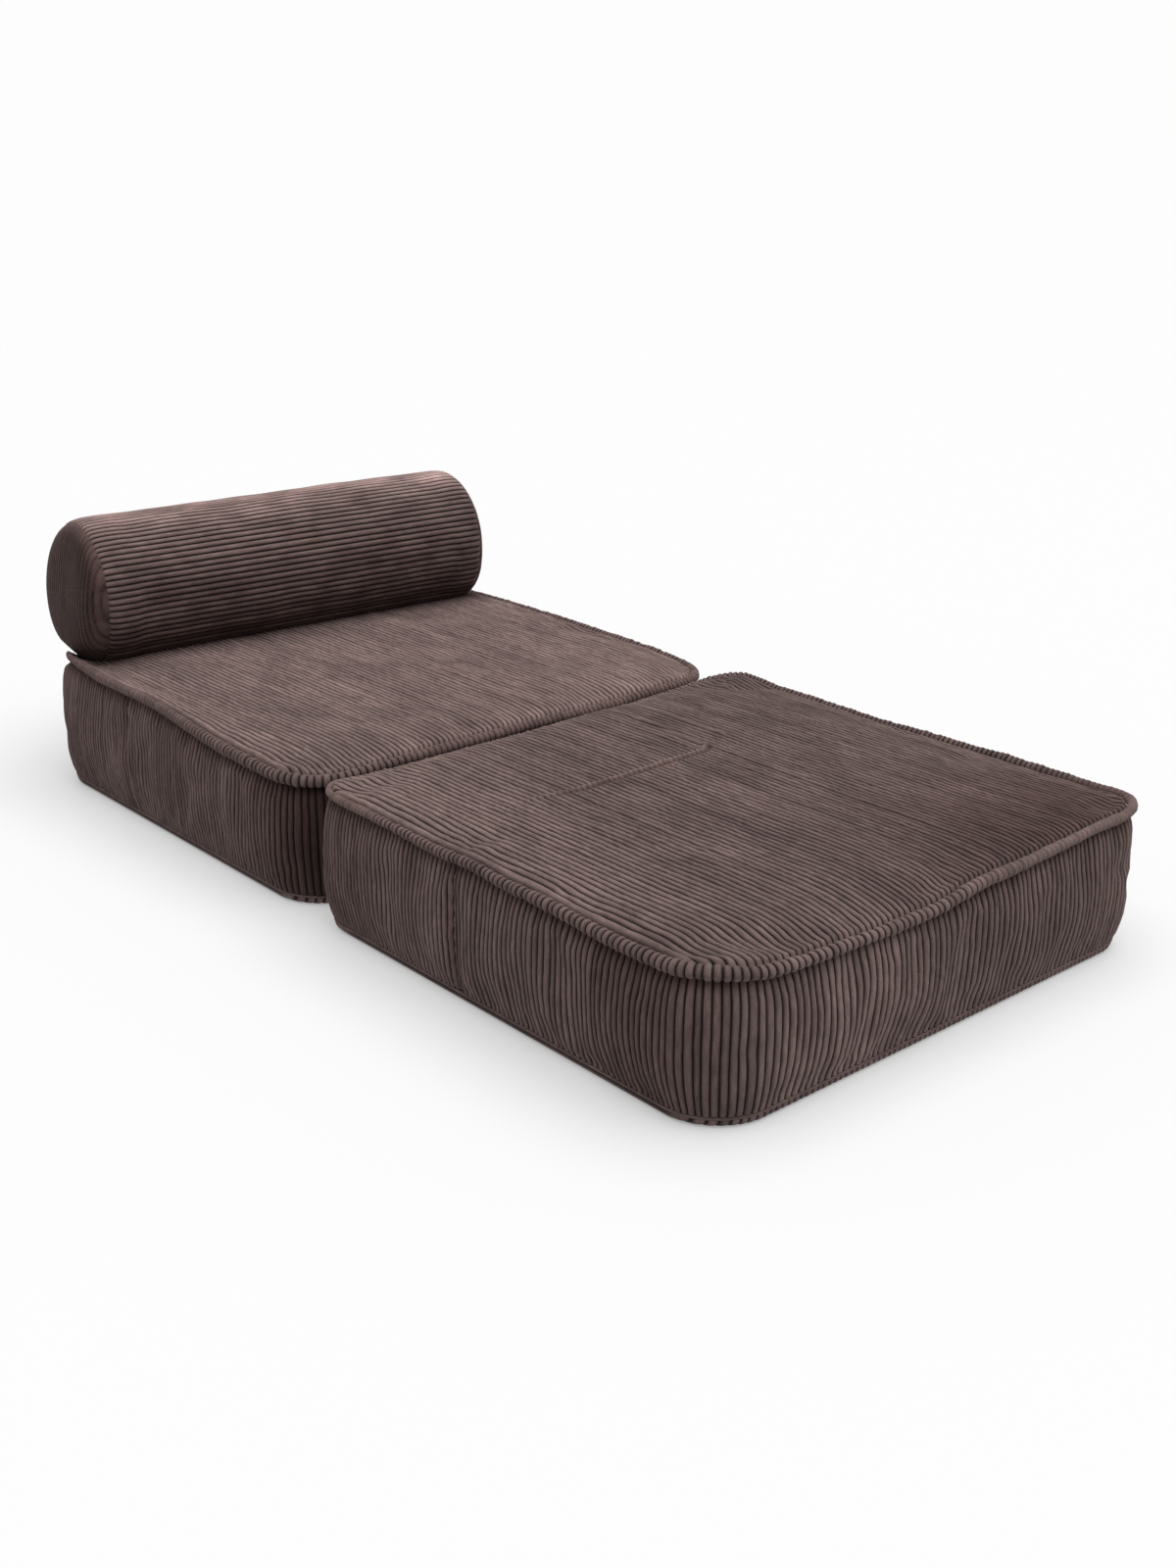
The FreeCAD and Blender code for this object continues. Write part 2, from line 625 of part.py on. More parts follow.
def make_bolster():
    """The loose bolster: foam, wrap, tube, two bulging end caps and a zip."""
    gap = size("layer_gap")
    wrap_inside = f"{WRAP_INSET} + {size('wrap_thickness')}"
    foam = f"{wrap_inside} + {gap}"

    core = new_body("bolster_foam_core", BOLSTER)
    bolster_loft(core, "bolster_foam", bolster_sections(foam))

    turned = place(0, 0, 0, turn("1;0;0", f"180 + {size('bolster_zip_angle')}"))
    half = f"({size('bolster_zip_travel')} / 2 + {size('zip_garage')})"
    outside = f"({size('bolster_radius')} + {size('overcut')})"
    deep = f"({size('bolster_radius')} / 2)"
    room = size("zip_room")

    wrap = new_body("bolster_fibre_wrap", BOLSTER)
    bolster_loft(wrap, "bolster_wrap_outside", bolster_sections(WRAP_INSET))
    bolster_loft(wrap, "bolster_wrap_inside", bolster_sections(wrap_inside), cut=True)
    add_box(
        wrap, "bolster_wrap_slot",
        (f"0 - {half} - {room}", f"0 - {size('tape_half')} - {room}", deep),
        (f"{half} + {room}", f"{size('tape_half')} + {room}", outside), cut=True, placement=turned)

    tube = new_body("bolster_tube_cover", BOLSTER)
    bolster_loft(tube, "bolster_tube_outside", bolster_sections("0"))
    bolster_loft(tube, "bolster_tube_inside", bolster_sections(CLOTH), cut=True)
    add_box(
        tube, "bolster_tube_slot",
        (f"0 - {half}", f"0 - {size('zip_slot_half')}", deep),
        (half, size("zip_slot_half"), outside), cut=True, placement=turned)

    for side, angle in (("left", 180), ("right", 0)):
        name = f"bolster_{side}_cap"
        cap = new_body(name, f"{BOLSTER} * {place(0, 0, 0, turn('0;0;1', angle))}")
        bolster_loft(cap, f"{name}_outside", cap_sections("0"))
        bolster_loft(cap, f"{name}_inside", cap_sections(CLOTH), cut=True)

    surface = place(0, 0, size("bolster_radius"), turn("0;0;1", 0))
    make_zip("bolster", f"{BOLSTER} * {turned} * {surface}",
             size("bolster_zip_travel"), size("bolster_tape_depth"))


def cap_sections(inset):
    """A bulging end cap, from its seam to the middle."""
    rim = f"({size('bolster_radius')} - {size('bolster_draw')} - ({inset}))"
    return [
        (f"{rim} - {rim} * {size('cap_round_share')} * (1 - {cosine})",
         f"{BOLSTER_HALF} + ({size('cap_bulge')} - ({inset})) * {sine}")
        for sine, cosine in round_steps()]


def check_and_write():
    """Stops on any failed object or bad solid, then writes one file for each body."""
    failed = [
        item.Label for item in document.Objects
        if any(word in item.State for word in ("Invalid", "Error"))]
    if failed:
        raise RuntimeError(f"these objects failed: {failed}")
    bodies = [item for item in document.Objects if item.TypeId == "PartDesign::Body"]
    for body in bodies:
        if body.Shape.isNull() or not body.Shape.isValid() or not body.Shape.Solids:
            raise RuntimeError(f"{body.Label} has no valid solid")
    for body in bodies:
        body.Shape.exportStep(os.path.join("parts", f"{body.Label}.step"))
        print(f"{body.Label}: {len(body.Shape.Solids)} solid, {body.Shape.Volume / 1000:.1f} cm3")


make_block("head", size("head_length"), size("head_join"))
make_block("foot", size("foot_length"), size("foot_join"))
make_bolster()
document.recompute()
check_and_write()
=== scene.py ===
import json
import math

import bpy
import numpy as np
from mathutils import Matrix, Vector


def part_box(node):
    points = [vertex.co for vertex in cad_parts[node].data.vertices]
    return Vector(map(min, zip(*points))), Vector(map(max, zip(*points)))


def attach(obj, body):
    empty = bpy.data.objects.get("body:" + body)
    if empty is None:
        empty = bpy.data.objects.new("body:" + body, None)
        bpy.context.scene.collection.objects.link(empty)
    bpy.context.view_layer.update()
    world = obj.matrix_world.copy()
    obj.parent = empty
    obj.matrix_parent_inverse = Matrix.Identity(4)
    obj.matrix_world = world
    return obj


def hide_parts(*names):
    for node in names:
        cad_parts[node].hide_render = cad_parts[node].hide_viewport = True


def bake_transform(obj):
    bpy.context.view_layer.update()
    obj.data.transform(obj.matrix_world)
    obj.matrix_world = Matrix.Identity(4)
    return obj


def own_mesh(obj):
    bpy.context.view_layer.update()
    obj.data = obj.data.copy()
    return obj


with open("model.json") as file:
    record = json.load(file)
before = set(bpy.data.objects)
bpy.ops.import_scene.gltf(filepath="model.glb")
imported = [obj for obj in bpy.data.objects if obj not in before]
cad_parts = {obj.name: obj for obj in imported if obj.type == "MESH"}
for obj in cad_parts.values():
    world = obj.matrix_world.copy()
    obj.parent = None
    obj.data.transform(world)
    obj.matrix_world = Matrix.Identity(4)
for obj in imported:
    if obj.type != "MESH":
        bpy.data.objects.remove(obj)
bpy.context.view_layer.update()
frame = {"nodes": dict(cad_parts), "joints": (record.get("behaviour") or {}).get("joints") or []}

bpy.ops.object.select_all(action="DESELECT")


# The studio. A pale floor with a white surround, one broad soft light from above the foot end, and
# the camera at the photograph's viewing angle.
HINGE_Y = next(joint["pos_m"][1] for joint in frame["joints"] if joint["name"] == "fold")
FLOOR_DEPTH, FLOOR_SPAN = 0.6, 60
CAMERA_DOWN, CAMERA_ROUND = 0.360, 0.716
WHITE = (1, 1, 1, 1)


def set_inputs(node, values):
    """Sets a node's inputs by their names, with _ for each space."""
    for name, value in values.items():
        node.inputs[name.replace("_", " ")].default_value = value
    return node


def add_node(web, kind, **values):
    """Adds a node with its values."""
    return set_inputs(web.nodes.new(kind), values)


def new_material(name, **values):
    """A new material, its nodes, and its surface with the values that it has all over."""
    made = bpy.data.materials.new(name)
    made.use_nodes = True
    return made, made.node_tree, set_inputs(made.node_tree.nodes["Principled BSDF"], values)


bpy.ops.mesh.primitive_cube_add(size=1, location=(0, 0, -FLOOR_DEPTH / 2))
floor = bpy.context.object
floor.name = "studio_floor"
floor.scale = (FLOOR_SPAN, FLOOR_SPAN, FLOOR_DEPTH)
bpy.ops.object.transform_apply(location=True, rotation=True, scale=True)
paint = new_material("studio_floor", Base_Color=(0.42, 0.42, 0.42, 1), Roughness=0.9,
                     Emission_Color=WHITE, Emission_Strength=0.32, Specular_IOR_Level=0.1)[0]
floor.data.materials.append(paint)
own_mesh(floor)

surround = bpy.data.worlds.new("studio_surround")
surround.use_nodes = True
web = surround.node_tree
glow = set_inputs(web.nodes["Background"], {"Color": WHITE, "Strength": 0.36})
seen = add_node(web, "ShaderNodeBackground", Color=WHITE, Strength=0.98)
choose = add_node(web, "ShaderNodeMixShader")
eye = add_node(web, "ShaderNodeLightPath")
web.links.new(eye.outputs["Is Camera Ray"], choose.inputs["Fac"])
web.links.new(glow.outputs[0], choose.inputs[1])
web.links.new(seen.outputs[0], choose.inputs[2])
web.links.new(choose.outputs[0], web.nodes["World Output"].inputs["Surface"])
bpy.context.scene.world = surround
bpy.context.scene.view_settings.view_transform = "Standard"

bpy.ops.object.light_add(type="SUN", location=(1, -2, 4))
lamp = bpy.context.object
lamp.name = "soft_light"
lamp.data.energy = 3.9
lamp.data.angle = math.radians(75)
lamp.rotation_euler = Vector((-0.05, 0.16, -1)).to_track_quat("-Z", "Y").to_euler()

bpy.ops.object.camera_add(location=(-1.651, -2.023 + HINGE_Y, 1.085))
camera = bpy.context.object
camera.rotation_euler = (math.pi / 2 - CAMERA_DOWN, 0, -CAMERA_ROUND)
camera.data.lens = 43.12
camera.data.sensor_width = 36
camera.data.clip_end = 200
bpy.context.scene.camera = camera


# Foam cores. Each block is one slab of dense upholstery foam, cut square and then rounded: wide
# corners in plan, an easy radius round the top edge and a small one below.
BLOCKS = ("foot", "head")
HALF_WIDTH = 0.4
CORNER = 0.095
START = 0.0005
LENGTH = {"foot": 0.790, "head": 0.778}
CLOTH = 0.003


def on_piece(web, kind, **values):
    """Adds a texture that lies on the piece's own coordinates."""
    where, texture = add_node(web, "ShaderNodeTexCoord"), add_node(web, kind, **values)
    web.links.new(where.outputs["Object"], texture.inputs["Vector"])
    return texture


def tint(web, skin, pattern, dark, light, light_from=1, dent=0):
    """Lets a pattern set a surface's colour, and how it is dented if the dents have a depth."""
    shade = add_node(web, "ShaderNodeValToRGB")
    shade.color_ramp.elements[0].color = (*dark, 1)
    shade.color_ramp.elements[1].color = (*light, 1)
    shade.color_ramp.elements[1].position = light_from
    web.links.new(pattern, shade.inputs["Fac"])
    web.links.new(shade.outputs["Color"], skin.inputs["Base Color"])
    if dent:
        dents = add_node(web, "ShaderNodeBump", Distance=dent)
        web.links.new(pattern, dents.inputs["Height"])
        web.links.new(dents.outputs["Normal"], skin.inputs["Normal"])


foam, web, skin = new_material("upholstery_foam", Roughness=0.95)
pores = on_piece(web, "ShaderNodeTexVoronoi", Scale=700)
tint(web, skin, pores.outputs["Distance"], (0.42, 0.35, 0.20), (0.80, 0.74, 0.55), 0.5, 0.0006)


def stacked(x, y, z):
    """Points, or places on a cloth, from their three parts."""
    return np.stack(np.broadcast_arrays(x, y, z), -1)


def together(outer, inner):
    """One list of points from two grids."""
    return np.concatenate([outer.reshape(-1, 3), inner.reshape(-1, 3)])


def perimeter(block):
    """The way round a block's outline."""
    return 4 * (HALF_WIDTH - CORNER) + 2 * (LENGTH[block] - 2 * CORNER) + 2 * math.pi * CORNER


def straight(block):
    """Where a block's straight sides end: so far across, and at its near and its far corners."""
    return HALF_WIDTH - CORNER, START + CORNER, START + LENGTH[block] - CORNER


def past_straight(block, x, y):
    """How far across and along a point lies past the middles of the corners."""
    wide, near, far = straight(block)
    return np.stack([x - np.clip(x, -wide, wide), y - np.clip(y, near, far)], -1)


def all_round(block, count):
    """So many evenly spaced places round a block's outline."""
    return np.linspace(0, perimeter(block), count + 1)[:-1]


def ring(block, along, inset):
    """Points on a block's outline, so far round it from the middle of the hinge side."""
    wide, near, far = straight(block)
    arc = math.pi / 2 * CORNER
    marks = np.cumsum([0, wide, arc, far - near, arc, 2 * wide, arc, far - near, arc, wide])
    along = np.mod(along, marks[-1])
    x = np.interp(along, marks, [0, wide, wide, wide, wide, -wide, -wide, -wide, -wide, 0])
    y = np.interp(along, marks, [near, near, near, far, far, far, far, near, near, near])
    turn = np.interp(along, marks, np.radians([-90, -90, 0, 0, 90, 90, 180, 180, 270, 270]))
    return x + (CORNER - inset) * np.cos(turn), y + (CORNER - inset) * np.sin(turn)


# Corners that the cover pulls tighter than the rest: their side, their end, and their radius
TIGHT = {"foot": [(1, 0, 0.060), (-1, 0, 0.060), (-1, 1, 0.064)], "head": []}


def tighten(block, points):
    """Pushes a block's tighter corners outwards, to a smaller radius."""
    moved = points.copy()
    for side, end, radius in TIGHT[block]:
        corner = LENGTH[block] - CORNER if end else CORNER
        middle = np.array([side * (HALF_WIDTH - CORNER), START + corner])
        away = (points[..., :2] - middle) * np.array([side, 1 if end else -1])
        inside = (away > 0).all(-1)
        over, up = (away[inside] / np.linalg.norm(away[inside], axis=-1)[:, None]).T
        shift = CORNER - radius
        arc = radius**2 - shift**2 * (over - up) ** 2
        reach = np.minimum(CORNER / np.maximum(over, 1e-9), CORNER / np.maximum(up, 1e-9))
        bent = shift * (over + up) + np.sqrt(np.maximum(arc, 0))
        reach = np.where(np.minimum(over, up) * reach > shift, bent, reach)
        moved[inside, :2] = middle + (points[inside, :2] - middle) * (reach / CORNER)[:, None]
    return moved


def in_row(block, points):
    """Turns points of a block's own frame, hinge line outwards, into the row frame."""
    sign = 1 if block == "head" else -1
    return tighten(block, points) * np.array([sign, sign, 1]) + np.array([0, HINGE_Y, 0])


SIDE_LEVELS = np.array([0.0154, 0.0484, 0.0985, 0.15695, 0.182])
SIDE_INSETS = np.array([0.011, 0.00365, 0.0005, 0.0039, 0.009])
SIDE_CURVE = np.polyfit(SIDE_LEVELS, SIDE_INSETS, 4)


def side_inset(z):
    """How far the cover's side is drawn in at a height."""
    inset = np.polyval(SIDE_CURVE, np.clip(z, SIDE_LEVELS[0], SIDE_LEVELS[-1]))
    tucked = 0.0065 * np.clip((z - 0.150) / 0.036, 0, 1) ** 2
    return inset + tucked + np.where(z < SIDE_LEVELS[0], 0.002, 0)


def stand(block, along, inset, z):
    """Points on a block's side, in its own frame."""
    along, inset, z = np.broadcast_arrays(along, inset, z)
    return stacked(*ring(block, along, inset), z)


def ripple(seed, shortest, longest, count=28):
    """A smooth, random, rolling field: crossing waves of many lengths, about -1 to 1."""
    pick = np.random.default_rng(seed)
    way = pick.normal(size=(count, 3))
    way /= np.linalg.norm(way, axis=1)[:, None]
    way *= 2 * math.pi / pick.uniform(shortest, longest, count)[:, None]
    phase = pick.uniform(0, 2 * math.pi, count)

    def field(points):
        return np.sin(points @ way.T + phase).sum(-1) * math.sqrt(2 / count) / 2

    return field


def spot(x, y, at_x, at_y, wide, long):
    """1 at a place, fading to 0 round it, with its reach across and along."""
    return np.exp(-(((x - at_x) / wide) ** 2) - ((y - at_y) / long) ** 2)


# Where the cover has settled, in a block's own frame: the place, how far it reaches across and
# along, and how far it moves across, along and up, in millimetres
SETTLED = {
    "foot": [
        (0.40, 0.12, 0.07, 0.20, 0, 0, 8), (0.40, 0.37, 0.06, 0.05, 0, 0, 5),
        (0.40, 0.49, 0.06, 0.06, 1, 0, 5), (0.40, 0.62, 0.05, 0.05, 0, 0, -1),
        (0.38, 0.75, 0.05, 0.05, 0, 0, 3), (0.12, 0.80, 0.10, 0.07, 0, 4, -12),
        (0.25, 0.80, 0.07, 0.06, 0, 2, -6), (0.02, 0.80, 0.06, 0.06, 0, 3, -6),
        (-0.10, 0.80, 0.06, 0.05, 0, 2, -2), (-0.29, 0.79, 0.06, 0.05, 0, 1, 6),
        (-0.39, 0.785, 0.05, 0.05, -1, 3, 9), (-0.39, 0.04, 0.09, 0.06, 0, 2, 6),
        (0.0, 0.0, 0.50, 0.035, 0, 6, -7), (0.39, 0.02, 0.04, 0.04, -9, 5, 1),
    ],
    "head": [
        (-0.41, 0.72, 0.036, 0.17, 6, 0, 31), (-0.41, 0.42, 0.048, 0.15, 1, 0, 21),
        (-0.38, 0.78, 0.05, 0.04, 5, -6, 0), (-0.36, 0.02, 0.05, 0.05, 0, 2, -4),
        (0.0, 0.0, 0.50, 0.03, 0, 0.5, 0), (0.15, 0.0, 0.08, 0.05, 0, 0, -4),
        (0.39, 0.07, 0.05, 0.07, 0, 0, -5), (0.40, 0.40, 0.05, 0.20, 0, 0, 3),
    ],
}
# Where the rolled welt is thinner: the place, its reach across and along, and how much is missing
THINNER = {
    "foot": [(0.39, 0.02, 0.06, 0.07, 3.4), (0.40, 0.18, 0.07, 0.12, 2.8),
             (0.40, 0.40, 0.07, 0.14, 1.8), (0.15, 0.79, 0.16, 0.07, 1.4),
             (-0.22, 0.79, 0.13, 0.07, 2.2), (-0.39, 0.77, 0.06, 0.08, 3.0),
             (0.0, 0.0, 0.34, 0.045, 4.4)],
    "head": [(-0.40, 0.76, 0.06, 0.10, 4.2), (-0.40, 0.50, 0.06, 0.12, 1.8),
             (0.10, 0.0, 0.30, 0.05, 1.0)],
}
# Where the welt alone is drawn in: the place, how far that reaches, and its move across and
# along in millimetres
TUCKED = {"foot": [], "head": [(-0.38, 0.75, 0.05, 11, -10)]}
# How far the cloth of each block has moved, once it has been run
DRAPED = {}
SLACK = {"foot": ripple(11, 0.11, 0.34), "head": ripple(12, 0.11, 0.34)}
RUMPLE = {"foot": ripple(21, 0.045, 0.11), "head": ripple(22, 0.045, 0.11)}


def settle(block, points):
    """Moves points of a block's cover as the cloth has settled, all its pieces alike."""
    x, y, z = points[..., 0], points[..., 1], points[..., 2]
    away = past_straight(block, x, y)
    reach = np.linalg.norm(away, axis=-1)
    out = away / np.maximum(reach, 1e-6)[..., None]
    edge = np.clip(reach / CORNER, 0, 1)
    lift = np.clip(z / 0.19, 0, 1)
    slack, rumple = SLACK[block](points), RUMPLE[block](points)
    bell = np.clip(4 * z * (0.2 - z) / 0.04, 0, 1)
    side = edge**4 * (bell * (0.0016 * slack + 0.0008 * rumple) + 0.0010 * lift * slack)
    moved = points.copy()
    moved[..., :2] += out * side[..., None]
    moved[..., 2] += lift**3 * (0.0007 * slack + 0.0004 * rumple)
    if block in DRAPED:
        top, band = DRAPED[block]
        over = from_grid(top, *top_share(block, x, y), False) * np.array([0.4, 1, 1])
        moved += over * (lift**3 * np.clip((z - 0.15) / 0.03, 0, 1))[..., None]
        moved += from_grid(band, *band_share(block, x, y, z), True) * (edge**4)[..., None]
    for mx, my, wide, long, lean_x, lean_y, rise in SETTLED[block]:
        near_by = spot(x, y, mx, my, wide, long) * lift**2 / 1000
        moved += near_by[..., None] * np.array([lean_x, lean_y, rise])
    for mx, my, wide, lean_x, lean_y in TUCKED[block]:
        near_by = np.exp(-((x - mx) ** 2 + (y - my) ** 2) / wide**2)
        near_by = near_by * np.clip((z - 0.178) / 0.012, 0, 1) / 1000
        moved += near_by[..., None] * np.array([lean_x, lean_y, 0])
    return moved


def thinner(block, x, y):
    """How much thinner the rolled welt is near a place, in metres of its radius."""
    missing = 0
    for mx, my, wide, long, less in THINNER[block]:
        missing = missing + less / 1000 * spot(x, y, mx, my, wide, long)
    return missing


def quads(rows, columns, first=0, round_rows=False, round_columns=False):
    """The four-sided faces of a grid of points."""
    r = np.arange(rows if round_rows else rows - 1)[:, None]
    c = np.arange(columns if round_columns else columns - 1)[None, :]
    here, above = r * columns, (r + 1) % rows * columns
    beside = (c + 1) % columns
    faces = np.stack([here + c, here + beside, above + beside, above + c], -1)
    return first + faces.reshape(-1, 4)


def sew(name, points, faces, weave=None, tone_and_painted_light=None):
    """Makes a closed piece from its points and faces, facing outwards, with its weave, and its tone
    with painted light and shade.
    """
    mesh = bpy.data.meshes.new(name)
    mesh.from_pydata(points.tolist(), [], faces)
    mesh.update()
    triangles = np.array([[f[0], f[i], f[i + 1]] for f in faces for i in range(1, len(f) - 1)])
    a, b, c = (points[triangles[:, i]] for i in range(3))
    if np.einsum("ij,ij->i", a, np.cross(b, c)).sum() < 0:
        mesh.flip_normals()
    mesh.polygons.foreach_set("use_smooth", np.ones(len(mesh.polygons), bool))
    if weave is not None:
        lining = len(points) - weave.size // 3
        weave = np.concatenate([weave.reshape(-1, 3), np.zeros((lining, 3))])
        layer = mesh.attributes.new("weave", "FLOAT_VECTOR", "POINT")
        layer.data.foreach_set("vector", weave.astype(np.float32).ravel())
        tone_and_painted_light = np.ones(len(weave) - lining) if tone_and_painted_light is None else tone_and_painted_light.ravel()
        layer = mesh.attributes.new("tone_and_painted_light", "FLOAT", "POINT")
        layer.data.foreach_set("value", np.append(tone_and_painted_light, np.ones(lining)).astype(np.float32))
    mesh.validate()
    piece = bpy.data.objects.new(name, mesh)
    bpy.context.collection.objects.link(piece)
    return piece


def finish_piece(piece, material, body, slot, *nodes):
    """Gives a piece its material and its body, and lets it stand for its nodes."""
    piece.data.materials.clear()
    piece.data.materials.append(material)
    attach(piece, body)
    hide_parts(*nodes)
    return piece


def ring_faces(rows, columns, first=0):
    """A stack of closed rings, open at both ends."""
    return quads(rows, columns, first, False, True).tolist()


def closed_faces(rows, columns):
    """A stack of closed rings with a face over each end."""
    ends = [list(range(columns))[::-1], [(rows - 1) * columns + i for i in range(columns)]]
    return ring_faces(rows, columns) + ends


FOAM_GAP = 0.0158
FOAM_LEVELS = np.array([0.0108, 0.0122, 0.0147, 0.0197, 0.03, 0.06, 0.10, 0.14, 0.165, 0.174,
                        0.181, 0.186, 0.1884])
FOAM_LOW, FOAM_LOW_ROUND = 0.0197, 0.009
FOAM_HIGH, FOAM_HIGH_ROUND = 0.1664, 0.022
for block in BLOCKS:
    z = FOAM_LEVELS[:, None]
    low = np.clip((FOAM_LOW - z) / FOAM_LOW_ROUND, 0, 1)
    high = np.clip((z - FOAM_HIGH) / FOAM_HIGH_ROUND, 0, 1)
    inset = (side_inset(z) + FOAM_GAP + FOAM_LOW_ROUND * (1 - np.sqrt(1 - low**2))
             + FOAM_HIGH_ROUND * (1 - np.sqrt(1 - high**2)))
    body = stand(block, all_round(block, 300), inset, z)
    faces = closed_faces(*body.shape[:2])
    core = sew(f"{block}_foam_slab", in_row(block, body).reshape(-1, 3), faces)
    finish_piece(core, foam, block, "foam", f"{block}_foam_core")


# How the cover settles. Coarse sheets of the cover's top and sides, cut a little large and held at
# their seams, are run as cloth, swelled out by an even pressure as the springy wadding swells them.
# The blocks' wadding, top and side cloth, welts, cords and piping then follow them.
TOP_GRID, BAND_GRID = (60, 60), (17, 260)
DRAPE_FRAMES, DRAPE_SLACK, HELD_LOOSELY = 24, 0.012, 0.06
FLAT_LEVEL = 0.2
SEAM_INSET, SEAM_LOW, SEAM_HIGH = 0.0165, 0.014, 0.187


def panel_plan(block, inset, place, steps):
    """x and y of a panel's grid: columns across the wales, rows along them, ends on the outline."""
    half, radius = HALF_WIDTH - inset, CORNER - inset
    x = place - half
    reach = np.clip(np.abs(x) - (half - radius), 0, radius)
    cut = radius - np.sqrt(radius**2 - reach**2)
    low, high = START + inset + cut, START + LENGTH[block] - inset - cut
    return np.broadcast_to(x, (len(steps), len(x))), low + (high - low) * steps[:, None]


def top_share(block, x, y):
    """Where a point lies on the top sheet, as shares of its rows and columns."""
    half, radius = HALF_WIDTH - SEAM_INSET, CORNER - SEAM_INSET
    x = np.clip(x, -half, half)
    cut = radius - np.sqrt(radius**2 - np.clip(np.abs(x) - (half - radius), 0, radius) ** 2)
    low, high = START + SEAM_INSET + cut, START + LENGTH[block] - SEAM_INSET - cut
    return np.clip((y - low) / (high - low), 0, 1), (x + half) / (2 * half)


def band_share(block, x, y, z):
    """Where a point lies on the sheet round the sides, as shares of its rows and columns."""
    wide, near = HALF_WIDTH - CORNER, START + CORNER
    deep = LENGTH[block] - 2 * CORNER
    px, py = np.clip(x, -wide, wide), np.clip(y, near, near + deep)
    turn = np.arctan2(y - py, x - px)
    turn = np.where(turn <= -math.pi / 2 + 1e-9, turn + 2 * math.pi, turn)
    far = near + deep
    passed = np.select([turn <= 0, turn <= math.pi / 2, turn <= math.pi],
                       [wide + py - near, wide + deep + wide - px, 3 * wide + deep + far - py],
                       3 * wide + 2 * deep + px + wide)
    along = CORNER * (turn + math.pi / 2) + passed
    up = np.clip((z - SEAM_LOW) / (SEAM_HIGH - SEAM_LOW), 0, 1)
    return up, np.mod(along / perimeter(block), 1)


def from_grid(grid, down, over, closed):
    """Reads a grid of movements at shares of its rows and columns."""
    rows, columns = grid.shape[:2]
    r, c = down * (rows - 1), over * (columns if closed else columns - 1)
    r0 = np.clip(r.astype(int), 0, rows - 2)
    c0 = c.astype(int) % columns if closed else np.clip(c.astype(int), 0, columns - 2)
    c1 = (c0 + 1) % columns
    r, c = (r - r0)[..., None], (c - np.floor(c) if closed else c - c0)[..., None]
    return ((grid[r0, c0] * (1 - c) + grid[r0, c1] * c) * (1 - r)
            + (grid[r0 + 1, c0] * (1 - c) + grid[r0 + 1, c1] * c) * r)


def draped(sheet, held, closed, slack, pressure, most):
    """Runs a sheet as cloth, a little large for where it is held. Gives how far its points move."""
    cloth = sew("drape", sheet.reshape(-1, 3), quads(*sheet.shape[:2], 0, False, closed).tolist())
    seams = cloth.vertex_groups.new(name="held")
    for i, weight in enumerate(held.ravel().tolist()):
        seams.add([i], weight, "REPLACE")
    weaving = cloth.modifiers.new("drape", "CLOTH")
    settings = weaving.settings
    settings.quality = 5
    settings.mass = 0.4
    settings.tension_stiffness = settings.compression_stiffness = 40
    settings.shear_stiffness = 12
    settings.bending_stiffness = 1.5
    settings.shrink_min = -slack
    settings.vertex_group_mass = "held"
    settings.pin_stiffness = 1.0
    settings.use_pressure = True
    settings.uniform_pressure_force = pressure
    settings.effector_weights.gravity = 0
    weaving.point_cache.frame_end = DRAPE_FRAMES
    for step in range(1, DRAPE_FRAMES + 1):
        bpy.context.scene.frame_set(step)
    lying = cloth.evaluated_get(bpy.context.evaluated_depsgraph_get()).to_mesh()
    places = np.empty(len(lying.vertices) * 3)
    lying.vertices.foreach_get("co", places)
    mesh = cloth.data
    bpy.data.objects.remove(cloth)
    bpy.data.meshes.remove(mesh)
    bpy.context.scene.frame_set(1)
    moved = places.reshape(sheet.shape) - sheet
    reach = np.linalg.norm(moved, axis=-1)[..., None]
    return moved * most * np.tanh(reach / most) / np.maximum(reach, 1e-9)


for block in BLOCKS:
    rows, columns = TOP_GRID
    place = np.linspace(0, 2 * (HALF_WIDTH - SEAM_INSET), columns)
    x, y = panel_plan(block, SEAM_INSET, place, np.linspace(0, 1, rows))
    flat = stacked(x, y, FLAT_LEVEL)
    flat[..., 2] += 0.0015 * SLACK[block](flat) + 0.001 * RUMPLE[block](flat)
    held = np.full(x.shape, HELD_LOOSELY)
    held[[0, -1]] = held[:, [0, -1]] = 1
    top = draped(flat, held, False, DRAPE_SLACK, 0.30, 0.004)
    rows, columns = BAND_GRID
    along, z = np.broadcast_arrays(np.arange(columns) / columns * perimeter(block),
                                   np.linspace(SEAM_LOW, SEAM_HIGH, rows)[:, None])
    flat = stand(block, along, side_inset(z), z)
    flat[..., :2] += 0.0012 * (SLACK[block](flat) + RUMPLE[block](flat))[..., None]
    held = np.full(z.shape, HELD_LOOSELY)
    held[[0, -1]] = 1
    band = draped(flat, held, True, DRAPE_SLACK, 0.25, 0.0038)
    out = (stand(block, along, -1, z) - stand(block, along, 0, z))[..., :2]
    push = (band[..., :2] * out).sum(-1)[..., None] * out
    band[..., :2] = push + 0.1 * (band[..., :2] - push)
    DRAPED[block] = (top, band)


# Fibre wraps. A soft polyester wadding lies over the foam's top and hangs down its four sides,
# which is what gives the cover its rounded, slightly lumpy fullness.
fibre, web, skin = new_material("polyester_wadding", Roughness=1, Sheen_Weight=0.5)
strands = on_piece(web, "ShaderNodeTexNoise", Scale=260, Detail=6, Distortion=2.5)
tint(web, skin, strands.outputs["Fac"], (0.55, 0.55, 0.53), (0.86, 0.86, 0.84), dent=0.002)

# The line on the head block's top that the bolster lies along
UNDER_BOLSTER = [(-0.34, 0.741), (0.37, 0.681)]


